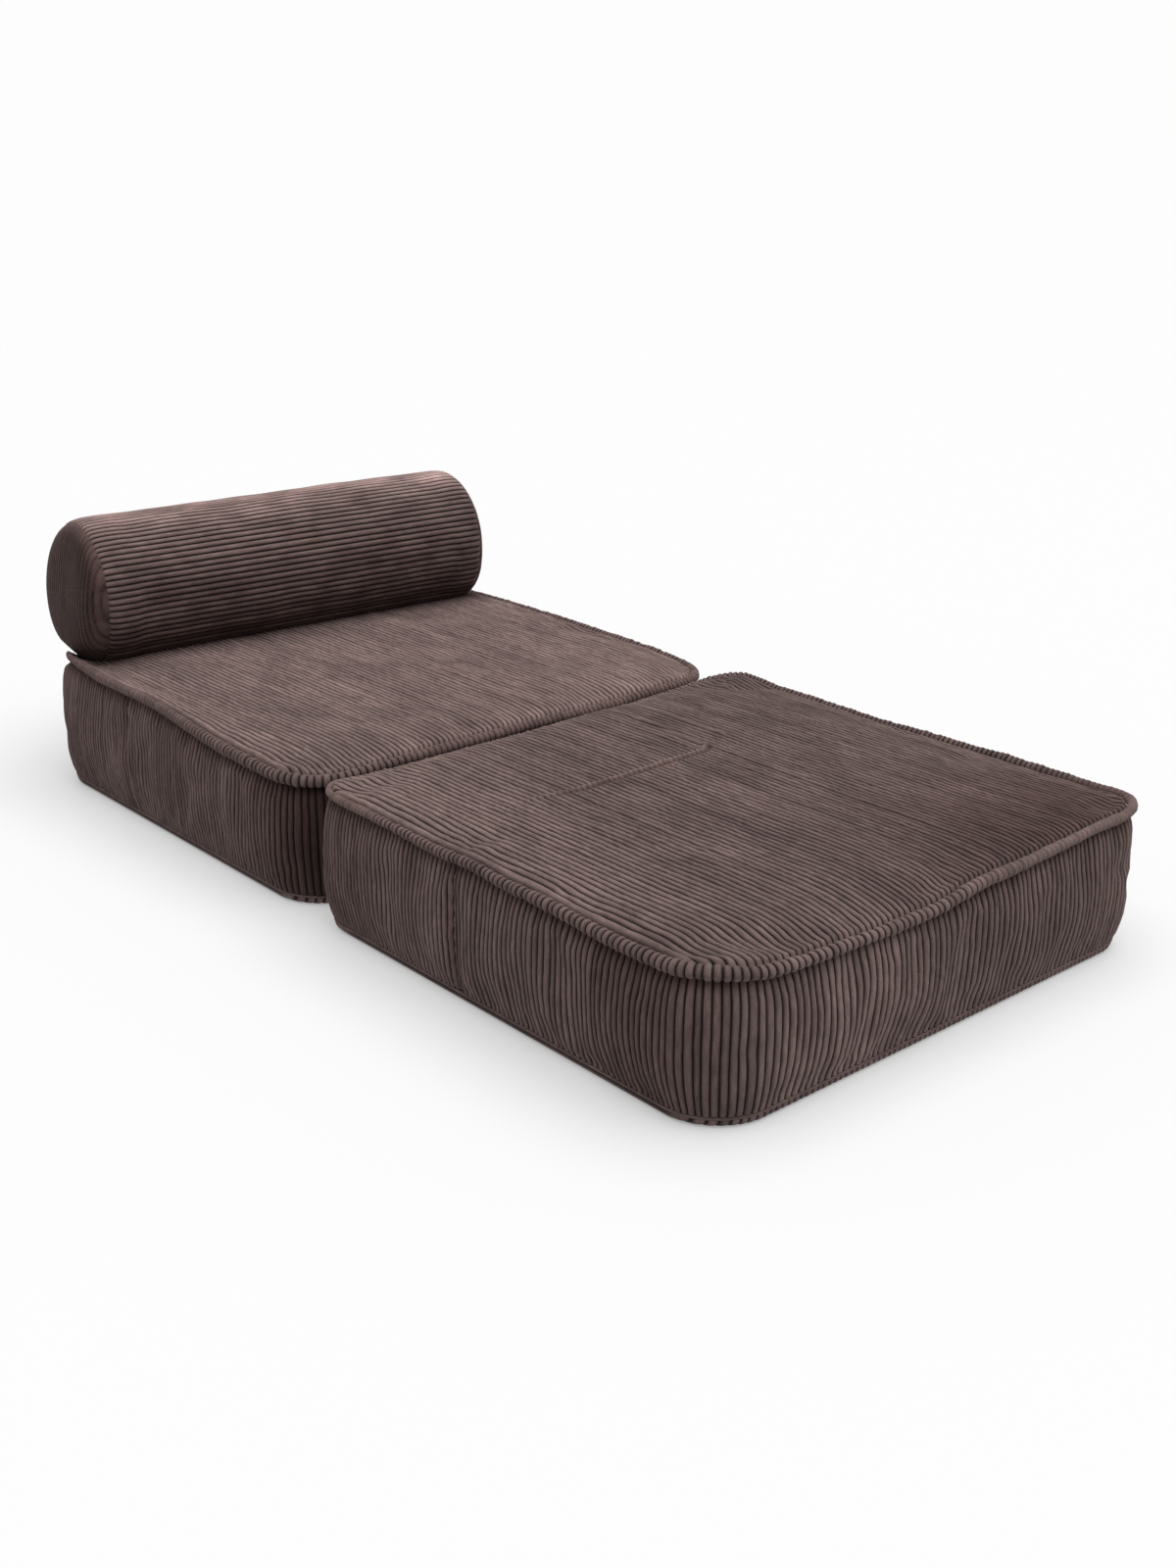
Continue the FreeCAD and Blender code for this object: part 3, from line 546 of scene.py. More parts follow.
def from_line(x, y, line):
    """How far a point lies from a line of straight runs."""
    nearest = np.full(np.shape(x), 9.0)
    for (ax, ay), (bx, by) in zip(line[:-1], line[1:]):
        t = ((x - ax) * (bx - ax) + (y - ay) * (by - ay)) / ((bx - ax) ** 2 + (by - ay) ** 2)
        t = np.clip(t, 0, 1)
        nearest = np.minimum(nearest, np.hypot(x - ax - t * (bx - ax), y - ay - t * (by - ay)))
    return nearest


def hollow(x, y):
    """How deep the bolster's weight presses into the head block's top."""
    return 0.009 * np.exp(-((from_line(x, y, UNDER_BOLSTER) / 0.045) ** 2))


def double_wall(rows, columns, lined=None):
    """Two stacks of closed rings, the second one turned inwards."""
    lining = ring_faces(rows, lined or columns, rows * columns)
    return ring_faces(rows, columns) + [face[::-1] for face in lining]


def rim_faces(outer, inner, columns):
    """The faces that join a ring of an outer wall to the inner wall's, from their first points."""
    after = [(i + 1) % columns for i in range(columns)]
    return [[outer + after[i], outer + i, inner + i, inner + after[i]] for i in range(columns)]


WRAP_GAP, WRAP_THICKNESS, WRAP_CEILING = 0.0058, 0.0095, 0.1890
WRAP_LEVELS = np.array([0.0155, 0.03, 0.05, 0.08, 0.11, 0.14, 0.16, 0.172, 0.179, 0.184, 0.188,
                        0.1905])
WRAP_TOP = np.array([[0.034, 0.1925], [0.045, 0.1928], [0.060, 0.1930], [0.080, 0.1931]])
for block in BLOCKS:
    along = all_round(block, 300)
    high = np.clip((WRAP_LEVELS - 0.164) / 0.0275, 0, 1)
    inset = side_inset(WRAP_LEVELS) + WRAP_GAP + 0.014 * (1 - np.sqrt(1 - high**2))
    levels = np.concatenate([np.stack([inset, WRAP_LEVELS], 1), WRAP_TOP])
    outer = stand(block, along, levels[:, :1], levels[:, 1:])
    inner = stand(block, along, levels[:, :1] + WRAP_THICKNESS * (levels[:, :1] < 0.04),
                  levels[:, 1:] - np.where(levels[:, :1] > 0.03, WRAP_THICKNESS, 0))
    inner[..., 2] = np.minimum(inner[..., 2], WRAP_CEILING)
    rows, columns = outer.shape[:2]
    start = rows * columns
    faces = double_wall(rows, columns)
    faces += [[(rows - 1) * columns + i for i in range(columns)]]
    faces += [[start + (rows - 1) * columns + i for i in range(columns)][::-1]]
    faces += rim_faces(0, start, columns)
    points = together(outer, inner)
    if block == "head":
        points[:, 2] -= 1.1 * hollow(points[:, 0], points[:, 1]) * (points[:, 2] > 0.18)
    wrap = sew(f"{block}_wadding", in_row(block, settle(block, points)), faces)
    finish_piece(wrap, fibre, block, "fibre", f"{block}_fibre_wrap")


# Top panels. One flat piece of wide-wale corduroy on each block, its wales running along the bed.
# It is crowned by the wadding and its edge turns down into the seam inside the rolled welt.
WALE_DEPTH = 0.0034
ACROSS = np.array([0, 0.07, 0.2, 0.35, 0.5, 0.65, 0.8, 0.93])
FINE = len(ACROSS)


def wales(width, seed, pitch, across=ACROSS):
    """Splits a width of cloth into wales of a changing pitch, given in places and millimetres.
    Gives each column's place and its height, 0 in a groove and 1 on a crest."""
    pick = np.random.default_rng(seed)
    fine = np.linspace(0, width, 2001)
    passed = np.concatenate([[0], np.cumsum(np.diff(fine) / np.interp(fine[1:], *pitch) * 1000)])
    count = round(passed[-1])
    edges = np.arange(count + 1) + pick.normal(0, 0.05, count + 1)
    edges[0], edges[-1] = 0, count
    edges = np.interp(edges / count * passed[-1], passed, fine)
    place = edges[:-1, None] + np.diff(edges)[:, None] * across
    height = (1 - np.abs(2 * across - 1) ** 2.6) ** 0.8
    height = height * (1 + pick.normal(0, 0.07, count))[:, None]
    return np.append(place.ravel(), width), np.append(height.ravel(), 0)


def tufted(shape, seed, amount):
    """Small uneven swellings along each wale, from row to row."""
    pick = np.random.default_rng(seed)
    rows, columns = shape
    uneven = pick.normal(0, amount, (rows, columns // FINE + 2))
    return np.repeat(uneven, FINE, axis=1)[:, :columns]


def shell(name, outer, inner, under, weave=None, tone_and_painted_light=None):
    """A thick cloth piece: a fine outer grid, and a lining with a column under some of its own."""
    rows, columns = outer.shape[:2]
    lined, start = inner.shape[1], rows * columns
    faces = quads(rows, columns).tolist() + quads(rows, lined, start)[:, ::-1].tolist()
    for row, turned in ((0, True), (rows - 1, False)):
        for c in range(lined - 1):
            rim = [row * columns + i for i in range(under[c], under[c + 1] + 1)]
            face = rim + [start + row * lined + c + 1, start + row * lined + c]
            faces.append(face[::-1] if turned else face)
    for column, behind, turned in ((0, 0, False), (columns - 1, lined - 1, True)):
        for r in range(rows - 1):
            face = [r * columns + column, (r + 1) * columns + column,
                    start + (r + 1) * lined + behind, start + r * lined + behind]
            faces.append(face[::-1] if turned else face)
    return sew(name, together(outer, inner), faces, weave, tone_and_painted_light)


def add_turned_edge(grid, drop, across=True):
    """Adds a row or column at both ends of a grid that turns down by so much."""
    axis = 1 if across else 0
    first, last = np.take(grid, [0], axis), np.take(grid, [-1], axis)
    return np.concatenate([first - drop, grid, last - drop], axis)


def corduroy_material():
    """Wide-wale corduroy: painted shade in the grooves and a painted highlight on the crests,
    brushed pile that changes tone in streaks, fine fibres.
    """
    cloth, web, skin = new_material("corduroy", Roughness=0.92, Specular_IOR_Level=0.12,
                                    Sheen_Weight=0.09, Sheen_Roughness=0.45,
                                    Sheen_Tint=(1.0, 0.86, 0.84, 1))

    def read(name):
        made = add_node(web, "ShaderNodeAttribute")
        made.attribute_name = name
        return made

    def maths(operation, a, b, kind="Math"):
        made = add_node(web, "ShaderNode" + kind)
        made.operation = operation
        for socket, value in zip(made.inputs, (a, b)):
            if isinstance(value, bpy.types.NodeSocket):
                web.links.new(value, socket)
            else:
                socket.default_value = value
        return made.outputs[0]

    def mapped(value, low, high, to_low=0.0, to_high=1.0):
        made = add_node(web, "ShaderNodeMapRange", From_Min=low, From_Max=high,
                        To_Min=to_low, To_Max=to_high)
        web.links.new(value, made.inputs["Value"])
        return made

    def uneven(x, y, change, detail=3, distortion=0.0):
        made = add_node(web, "ShaderNodeTexNoise", Scale=1, Detail=detail, Distortion=distortion)
        place = maths("MULTIPLY", grain.outputs["Vector"], (x, y, 0), "VectorMath")
        web.links.new(place, made.inputs["Vector"])
        return mapped(made.outputs["Fac"], 0.3, 0.7, 1 - change, 1 + change).outputs[0]

    # Each piece's tone attribute carries its pile's tone together with painted shade and painted
    # highlights.
    grain, tone_and_light_node = read("weave"), read("tone_and_painted_light")
    split = add_node(web, "ShaderNodeSeparateXYZ")
    web.links.new(grain.outputs["Vector"], split.inputs[0])
    crest = split.outputs["Z"]

    patches = uneven(9, 5, 0.16, 4, 0.6)
    brushed = uneven(45, 16, 0.22, 4, 0.8)
    streaks = uneven(260, 60, 0.18, 3, 0.5)
    fibres = uneven(1300, 500, 0.26)
    broad, small = maths("MULTIPLY", patches, brushed), maths("MULTIPLY", streaks, fibres)
    tone = maths("MULTIPLY", maths("MULTIPLY", broad, small), tone_and_light_node.outputs["Fac"])
    # Painted highlight on the wales' crests.
    tone = maths("MULTIPLY", tone, mapped(crest, 0.75, 1.0, 1.0, 1.20).outputs[0])
    # Painted shade in the grooves: the colour runs from near black in a groove to the crest's
    # colour.
    groove_shade = mapped(crest, 0.18, 0.98)
    groove_shade.interpolation_type = "SMOOTHSTEP"

    blend = web.nodes.new("ShaderNodeMix")
    blend.data_type = "RGBA"
    blend.inputs["A"].default_value = (0.0065, 0.0040, 0.0037, 1)
    blend.inputs["B"].default_value = (0.109, 0.0750, 0.0697, 1)
    web.links.new(groove_shade.outputs[0], blend.inputs["Factor"])
    toned = add_node(web, "ShaderNodeVectorMath")
    toned.operation = "SCALE"
    web.links.new(blend.outputs["Result"], toned.inputs[0])
    web.links.new(tone, toned.inputs["Scale"])
    # Where the tone is darker, painted shade included, the colour is made more saturated.
    tinted = add_node(web, "ShaderNodeHueSaturation")
    rich = mapped(tone_and_light_node.outputs["Fac"], 0.3, 0.9, 1.45, 1.0)
    web.links.new(rich.outputs[0], tinted.inputs["Saturation"])
    web.links.new(toned.outputs[0], tinted.inputs["Color"])
    web.links.new(tinted.outputs[0], skin.inputs["Base Color"])

    height = maths("ADD", maths("MULTIPLY", fibres, 0.6), maths("MULTIPLY", streaks, 0.5))
    dent = add_node(web, "ShaderNodeBump", Strength=0.6, Distance=0.0008)
    web.links.new(height, dent.inputs["Height"])
    web.links.new(dent.outputs["Normal"], skin.inputs["Normal"])
    return cloth


corduroy = corduroy_material()

PANEL_INSET = 0.0165
PANEL_SEAM, PANEL_LIP, PANEL_HIGH = 0.1945, 0.2013, 0.2046
LIP_REACH, CROWN_REACH = 0.0045, 0.100
EDGE_STEPS = np.array([0, 0.0008, 0.002, 0.0035, 0.0055, 0.008, 0.011, 0.015, 0.020, 0.026])


def depth_in(block, x, y):
    """How far in from the block's outline a point lies."""
    wide, near, far = straight(block)
    over = np.hypot(*np.moveaxis(past_straight(block, x, y), -1, 0))
    inside = np.minimum(np.minimum(wide - np.abs(x), y - near), far - y)
    return CORNER - over + np.clip(inside, 0, None)


# The pressed mark that packing has left in the foot block's top, and where its rows lie closer
PRESSED = [(0.25, 0.26), (0.144, 0.278), (-0.090, 0.274), (-0.106, 0.262)]
PRESSED_ALONG = [(-0.106, 0.262), (-0.118, 0.114)]
PRESSED_TOO = [(-0.164, 0.026), (-0.161, 0.244)]
MARKS = ((PRESSED, 0.0026), (PRESSED_ALONG, 0.0020), (PRESSED_TOO, 0.0020))
ROW_STEP, CLOSE_STEP = 0.0078, 0.0022
CLOSE_ROWS = {"foot": (0.245, 0.295), "head": (0.3, 0.3)}


def mark(x, y, line):
    """A pressed mark's ridge and the crease beside it, 0 to 1."""
    shown = np.clip((0.26 - x) / 0.14, 0, 1)
    ridge = np.exp(-((from_line(x - 0.004, y + 0.005, line) / 0.0036) ** 2))
    return ridge * shown, np.exp(-((from_line(x, y, line) / 0.0030) ** 2)) * shown


def top_height(block, x, y):
    """The cover's height over a block's top, before it settles."""
    depth = depth_in(block, x, y)
    lip = np.clip((depth - PANEL_INSET) / LIP_REACH, 0, 1)
    crown = np.clip((depth - PANEL_INSET) / (CROWN_REACH - PANEL_INSET), 0, 1)
    z = PANEL_SEAM + (PANEL_LIP - PANEL_SEAM) * np.sin(lip * math.pi / 2)
    z = z + (PANEL_HIGH - PANEL_LIP) * np.sin(crown * math.pi / 2)
    if block == "foot":
        for line, height in MARKS:
            ridge, crease = mark(x, y, line)
            z = z + height * (1.3 * ridge - 0.8 * crease)
    else:
        z = z - hollow(x, y)
    return z


def panel_rows(block, inset):
    """Where a panel's rows lie, as shares of its length: close at the ends and across a mark."""
    length = LENGTH[block] - 2 * inset
    low, high = (value - START - inset for value in CLOSE_ROWS[block])
    parts = [EDGE_STEPS, np.arange(0.033, low, ROW_STEP), np.arange(low, high, CLOSE_STEP)]
    parts += [np.arange(high, length - 0.03, ROW_STEP), length - EDGE_STEPS[::-1]]
    return np.concatenate(parts) / length


NAP = {"foot": ripple(81, 0.10, 0.5), "head": ripple(82, 0.10, 0.5)}
PANEL_PITCH = {"foot": ([0, 0.38, 0.76], [8.4, 9.1, 10.0]), "head": ([0, 0.76], [8.7, 9.4])}


def reach_out(block, points):
    """Carries a panel's edge outwards to where the welt is thinner."""
    x, y = points[..., 0], points[..., 1]
    away = past_straight(block, x, y)
    reach = np.maximum(np.linalg.norm(away, axis=-1), 1e-6)
    share = np.clip((reach - 0.02) / (CORNER - PANEL_INSET - 0.02), 0, 1)
    moved = points.copy()
    moved[..., :2] += away * (2 * thinner(block, x, y) * share / reach)[..., None]
    return moved


def panel_tone_and_shade(block, x, y):
    """How light a panel looks: the brushed pile's tone, with painted light and shade. The foot
    block's is lighter by its hinge corner and darker at its far corner; the head block's carries a
    painted shadow round the bolster, and each panel a painted highlight along its lip."""
    tone_and_painted_light = (0.94 if block == "foot" else 1.26) + 0.05 * NAP[block](stacked(x * 1.5, y, 0 * x))
    if block == "foot":
        tone_and_painted_light = tone_and_painted_light + 0.22 * spot(x, y, 0.36, 0.15, 0.16, 0.28)
        tone_and_painted_light = tone_and_painted_light * (1 - 0.42 * spot(x, y, -0.22, 0.80, 0.22, 0.22))
    else:
        # Painted shadow on the top beside the bolster.
        beside = from_line(x, y, UNDER_BOLSTER)
        tone_and_painted_light = tone_and_painted_light * (1 - 0.45 * np.exp(-(((beside - 0.055) / 0.045) ** 2)))
        # Painted shade in the gap by the bolster's left end.
        tone_and_painted_light = tone_and_painted_light * (1 - 0.35 * spot(x, y, -0.37, 0.66, 0.06, 0.10))
        tone_and_painted_light = tone_and_painted_light * (1 - 0.16 * spot(x, y, -0.20, 0.06, 0.15, 0.07))
    # Painted highlight along the panel's lip by the seam.
    lip = np.clip(1 - (depth_in(block, x, y) - PANEL_INSET) / 0.006, 0, 1)
    return tone_and_painted_light * (1 + 0.25 * lip)


for block in BLOCKS:
    seed = 31 + BLOCKS.index(block)
    place, crest = wales(2 * (HALF_WIDTH - PANEL_INSET), seed, PANEL_PITCH[block])
    x, y = panel_plan(block, PANEL_INSET, place, panel_rows(block, PANEL_INSET))
    flat = stacked(x, y, FLAT_LEVEL)
    deep = WALE_DEPTH * (1 + 0.3 * RUMPLE[block](flat))
    tone_and_painted_light, shown = panel_tone_and_shade(block, x, y), crest + 0 * x
    if block == "head":
        shown = 0.2 + 0.8 * shown
    else:
        for line, _ in MARKS:
            ridge, crease = mark(x, y, line)
            deep *= 1 - 0.70 * np.maximum(ridge, crease)
            shown = shown + (1 - shown) * 0.65 * np.maximum(ridge, crease)
            # Painted highlight on each mark's ridge and painted shade in its crease.
            tone_and_painted_light *= 1 + 0.16 * ridge - 0.50 * crease
    lean = 0.0014 * SLACK[block](flat[..., [1, 0, 2]])
    height = top_height(block, x, y) - deep * (1 - crest) + tufted(x.shape, 91, 0.00022) * crest
    outer = stacked(x + lean, y, height)
    inner = outer[:, ::FINE].copy()
    inner[..., 0] *= 0.996
    inner[..., 1] += (START + LENGTH[block] / 2 - inner[..., 1]) * 0.004
    inner[..., 2] = top_height(block, inner[..., 0], inner[..., 1]) - CLOTH
    weave = stacked(place, y, shown)
    turned = np.array([0, 0, 0.009])
    for across in (False, True):
        outer = add_turned_edge(outer, turned, across)
        inner = add_turned_edge(inner, turned - [0, 0, CLOTH * (not across)], across)
        weave, tone_and_painted_light = add_turned_edge(weave, 0, across), add_turned_edge(tone_and_painted_light, 0, across)
    under = np.concatenate([[0], 1 + np.arange(0, len(place), FINE), [len(place) + 1]])
    outer, inner = (in_row(block, settle(block, reach_out(block, grid)))
                    for grid in (outer, inner))
    panel = shell(f"{block}_top_cloth", outer, inner, under, weave, tone_and_painted_light)
    finish_piece(panel, corduroy, block, "corduroy", f"{block}_top_panel")


# Side bands. Two lengths of corduroy with upright wales go round each block and meet in upright
# seams on the long sides. They bulge at mid height and are drawn in at both edges.
JOIN = {"foot": 0.326, "head": 0.500}
BAND_SEED = {"hinge_band": 41, "end_band": 51}
SEAM_REACH, SEAM_DEPTH, PUCKER, STITCHES = 0.005, 0.0035, 0.0012, 0.013
BAND_LEVELS = np.concatenate([
    [0.0140, 0.0150, 0.0158, 0.0172, 0.019, 0.0215, 0.025, 0.0295, 0.035],
    np.arange(0.042, 0.150, 0.0078),
    [0.155, 0.160, 0.165, 0.169, 0.173, 0.1765, 0.1795, 0.182, 0.1845, 0.187],
])


def seam_along(block):
    """How far round the outline an upright seam stands."""
    return HALF_WIDTH - CORNER + math.pi / 2 * CORNER + JOIN[block] - START - CORNER


def band_parts(block):
    """The hinge band's and the end band's start and length round the outline."""
    seam = seam_along(block)
    return {"hinge_band": (-seam, 2 * seam), "end_band": (seam, perimeter(block) - 2 * seam)}


BAND_PITCH = {
    "foot": ([0, 0.45, 0.70, 0.90, 1.05, 1.13, 1.22, 1.35, 1.50, 1.65, 1.80, 1.95, 2.50, 3.02],
             [8.0, 7.6, 8.6, 9.3, 9.8, 10.6, 11.2, 10.6, 10.2, 9.6, 8.7, 8.3, 8.5, 8.0]),
    "head": ([0, 0.45, 1.20, 1.95, 2.30, 2.50, 2.60, 2.70, 2.99],
             [9.0, 8.5, 8.5, 7.7, 8.2, 9.5, 11.5, 11.0, 9.0]),
}
# Where the wales sweep aside low on a side: place round the outline, reach, and how far at the
# floor
SWEPT = {"foot": [(0.98, 0.10, 0.014), (0.80, 0.10, 0.006), (1.45, 0.12, -0.007),
                  (0.50, 0.06, 0.003)],
         "head": [(2.48, 0.08, -0.012), (2.25, 0.10, -0.006)]}


def band_wales(block, part):
    """A band's wales: each column's place round the outline and its height."""
    start, length = band_parts(block)[part]
    spots = np.linspace(0, length, 200)
    pitch = np.interp(np.mod(start + spots, perimeter(block)), *BAND_PITCH[block])
    place, crest = wales(length, BAND_SEED[part] + BLOCKS.index(block), (spots, pitch))
    return start, length, place, crest


def sway(block, along, z):
    """How far the upright wales lean aside on their way down."""
    x, y = ring(block, along, 0)
    at = stacked(x * 1.6, y * 1.6, z * 0.8)
    lean = 0.0010 * SLACK[block](at) + 0.0003 * RUMPLE[block](at)
    lean = lean * np.clip((0.185 - z) / 0.05, 0, 1)
    low = np.clip((0.095 - z) / 0.075, 0, 1)
    for place, reach, far in SWEPT[block]:
        gap = np.mod(along - place + 1, perimeter(block)) - 1
        lean = lean + far * np.exp(-((gap / reach) ** 2)) * low**1.6
    return lean


# Where the rolled welt stands higher than the panel beside it: places round the outline, and
# millimetres
STANDS = {"foot": ([0, 1.84, 1.95, 2.10, 2.3, 2.6, 2.75, 3.02], [0, 0, 7, 9, 5, 4, 0, 0]),
          "head": ([0, 0.30, 0.45, 1.0, 1.2, 2.99], [0, 0, 3.5, 3, 0, 0])}


def stands_up(block, along):
    """How much higher the welt stands than elsewhere."""
    return np.interp(np.mod(along, perimeter(block)), *STANDS[block]) / 1000


def side_tone_and_shade(block, points):
    """How light a side looks: the brushed pile's tone, with painted shade. The head block's near
    corner is darkest, painted shade where it meets the foot block, and each band's top carries a
    painted shadow under the welt.
    """
    x, y = points[..., 0], points[..., 1]
    patches = NAP[block](points * np.array([1.6, 1.6, 0.8]))
    tone_and_painted_light = (0.92 if block == "foot" else 0.84) + 0.06 * patches
    if block == "foot":
        tone_and_painted_light = tone_and_painted_light + 0.26 * np.exp(-(((x - 0.20) / 0.14) ** 2)) * (y > 0.7)
        # Painted shade on the left side by the near corner; darker by the hinge.
        tone_and_painted_light = tone_and_painted_light - 0.22 * spot(x, y, 0.40, 0.66, 0.06, 0.12)
        tone_and_painted_light = tone_and_painted_light - 0.18 * spot(x, y, 0.40, 0.04, 0.06, 0.09)
    else:
        # Painted shade where the head block's near corner meets the foot block.
        tone_and_painted_light = tone_and_painted_light - 0.60 * spot(x, y, -0.36, 0, 0.12, 0.11)
    # Painted shadow along the band's top, under the welt.
    return tone_and_painted_light * (1 - 0.45 * np.clip((points[..., 2] - 0.162) / 0.022, 0, 1) ** 1.5)


for block in BLOCKS:
    for part in BAND_SEED:
        start, length, place, crest = band_wales(block, part)
        along, z = np.broadcast_arrays(start + place, BAND_LEVELS[:, None])
        flat = stand(block, along, 0, z)
        high = np.clip((z - 0.12) / 0.06, 0, 1) ** 1.5
        less = thinner(block, flat[..., 0], flat[..., 1]) * high
        fade = np.interp(z, [0.014, 0.022, 0.165, 0.183, 0.187], [0.5, 1, 1, 0.8, 0.5])
        deep = WALE_DEPTH * (1 + 0.25 * RUMPLE[block](flat)) * fade
        by_seam = (np.exp(-((place / SEAM_REACH) ** 2))
                   + np.exp(-(((length - place) / SEAM_REACH) ** 2)))
        seam = by_seam * (SEAM_DEPTH + PUCKER * np.sin(2 * math.pi * z / STITCHES + place * 300))
        moved = along + sway(block, along, z)
        rough = tufted(z.shape, 92, 0.00016) * crest
        height = z + 2 * less + stands_up(block, along) * high
        inset = side_inset(z) - less
        outer = stand(block, moved, inset + deep * (1 - crest) - rough + seam, height)
        inner = stand(block, moved, inset + CLOTH + SEAM_DEPTH * by_seam, height)[:, ::FINE]
        weave = stacked(along, z, crest)
        outer, inner = (in_row(block, settle(block, grid)) for grid in (outer, inner))
        under = np.arange(0, len(place), FINE)
        # Painted shade in the upright seams' creases.
        tone_and_painted_light = side_tone_and_shade(block, flat) * (1 - 0.30 * by_seam)
        cloth = shell(f"{block}_{part}_cloth", outer, inner, under, weave, tone_and_painted_light)
        finish_piece(cloth, corduroy, block, "corduroy", f"{block}_{part}")


# Top welts. A fat roll of corduroy over a filler cord stands round each block's top edge, its
# wales running across it in line with the band's. In places the pile is pressed almost smooth.
WELT_TOP, WELT_RADIUS, WELT_WALL, WELT_GROOVE = 0.1992, 0.009, 0.003, 0.0030
WELT_UNEVEN = 0.00035
ROUND = np.radians(np.arange(0, 360, 22.5))[:, None]
FACING = np.interp(np.degrees(ROUND), [0, 80, 150, 190, 250, 285, 360], [1, 1, 1, 0, 0, 1, 1])
# How plainly the wales show round the welt: metres round the outline, share
PLAIN = {
    "foot": ([0, 0.28, 0.36, 0.50, 0.55, 1.15, 1.30, 1.48, 1.58, 1.68, 1.90, 1.98, 2.1, 2.9,
              3.02],
             [0.9, 0.7, 0.15, 0.25, 1.0, 1.1, 1.1, 1.0, 0.5, 0.3, 0.2, 0.6, 1.1, 1.0, 0.9]),
    "head": ([0, 0.3, 0.5, 1.0, 1.6, 2.0, 2.3, 2.4, 2.55, 2.72, 2.8, 3.0],
             [0.6, 0.7, 1, 1, 1, 0.3, 0.5, 1, 1, 1, 0.6, 0.6]),
}


def roll(block, along, inset, radius, turn, level=None):
    """Points round a roll that follows the outline, so far in. It hangs from the welt's top unless
    it has a level of its own."""
    if level is None:
        level = WELT_TOP + stands_up(block, along) - inset
    return stand(block, along, inset - radius * np.cos(turn), level + radius * np.sin(turn))


def welt_radius(block, along):
    """The rolled welt's radius: it is thinner in some places than in others."""
    return WELT_RADIUS - thinner(block, *ring(block, along, 0))


def tube(name, outer, bore=None, weave=None, tone_and_painted_light=None):
    """A closed roll round a block, with its bore if it is hollow."""
    faces = quads(*outer.shape[:2], 0, True, True)
    points = outer.reshape(-1, 3)
    if bore is not None:
        faces = np.concatenate([faces, quads(*bore.shape[:2], len(points), True, True)[:, ::-1]])
        points = np.concatenate([points, bore.reshape(-1, 3)])
    return sew(name, points, faces.tolist(), weave, tone_and_painted_light)


for block in BLOCKS:
    spots, crests = [], []
    for part in BAND_SEED:
        start, length, place, crest = band_wales(block, part)
        spots.append(start + place[:-1])
        crests.append(crest[:-1])
    along, crest = np.concatenate(spots), np.concatenate(crests)
    show = np.interp(np.mod(along, perimeter(block)), *PLAIN[block])
    middle = welt_radius(block, along)
    fuller = np.random.default_rng(95).normal(0, WELT_UNEVEN, len(along) // FINE + 1)
    fuller = np.repeat(fuller, FINE)[:len(along)]
    groove = WELT_GROOVE * show * FACING * (1 - crest) * middle / WELT_RADIUS
    radius = middle + fuller * crest - groove
    outer = roll(block, along, middle, radius, ROUND)
    bore = roll(block, along[::FINE], middle[::FINE], middle[::FINE] - WELT_WALL, ROUND[::2])
    weave = stacked(along, WELT_RADIUS * ROUND, 1 - show * (1 - crest))
    x, y = ring(block, along, 0)
    # The welt's tone: darker where its pile is pressed, with painted shade on its left and right
    # sides, on the head block's hinge side and over the roll's underside.
    tone_and_painted_light = (0.95 - 0.12 * (1 - show)) * np.where(np.abs(x) > HALF_WIDTH - 0.02, 0.88, 1)
    tone_and_painted_light = tone_and_painted_light * np.where((y < 0.02) & (block == "head"), 0.85, 1)
    tone_and_painted_light = tone_and_painted_light * (1 - 0.45 * np.clip(-np.sin(ROUND + 0.35), 0, 1)) * np.ones(outer.shape[:2])
    outer, bore = (in_row(block, settle(block, grid)) for grid in (outer, bore))
    welt = tube(f"{block}_rolled_welt", outer, bore, weave, tone_and_painted_light)
    finish_piece(welt, corduroy, block, "corduroy", f"{block}_top_welt")


# Welt cords. A soft cord of three twisted cotton strands fills each welt.
CORD_GAP, CORD_LAY, CORD_GROOVE = 0.0034, 0.025, 0.0007
cotton, web, skin = new_material("filler_cotton", Roughness=0.95)
strands = on_piece(web, "ShaderNodeTexNoise", Scale=900)
tint(web, skin, strands.outputs["Fac"], (0.55, 0.50, 0.42), (0.82, 0.79, 0.72))

for block in BLOCKS:
    along = all_round(block, 600)
    turn = np.radians(np.arange(0, 360, 30))[:, None]
    laid = 2 * math.pi * along / perimeter(block) * round(perimeter(block) / CORD_LAY)
    middle = welt_radius(block, along)
    radius = middle - CORD_GAP - CORD_GROOVE * (0.5 - 0.5 * np.cos(3 * turn - laid))
    rope = settle(block, roll(block, along, middle, radius, turn))
    cord = tube(f"{block}_filler", in_row(block, rope))
    finish_piece(cord, cotton, block, "filler_cord", f"{block}_welt_cord")


# Lower piping. A thin, plain corded edge closes the seam between the bands and the underside.
PIPING_INSET, PIPING_LEVEL, PIPING_RADIUS = 0.0125, 0.013, 0.002
for block in BLOCKS:
    along = all_round(block, 1500)
    turn = np.radians(np.arange(0, 360, 45))[:, None]
    edge = settle(block, roll(block, along, PIPING_INSET, PIPING_RADIUS, turn, PIPING_LEVEL))
    weave = stacked(along, turn * PIPING_RADIUS, 0.85)
    piping = tube(f"{block}_piping", in_row(block, edge), None, weave)
    finish_piece(piping, corduroy, block, "corduroy", f"{block}_bottom_piping")


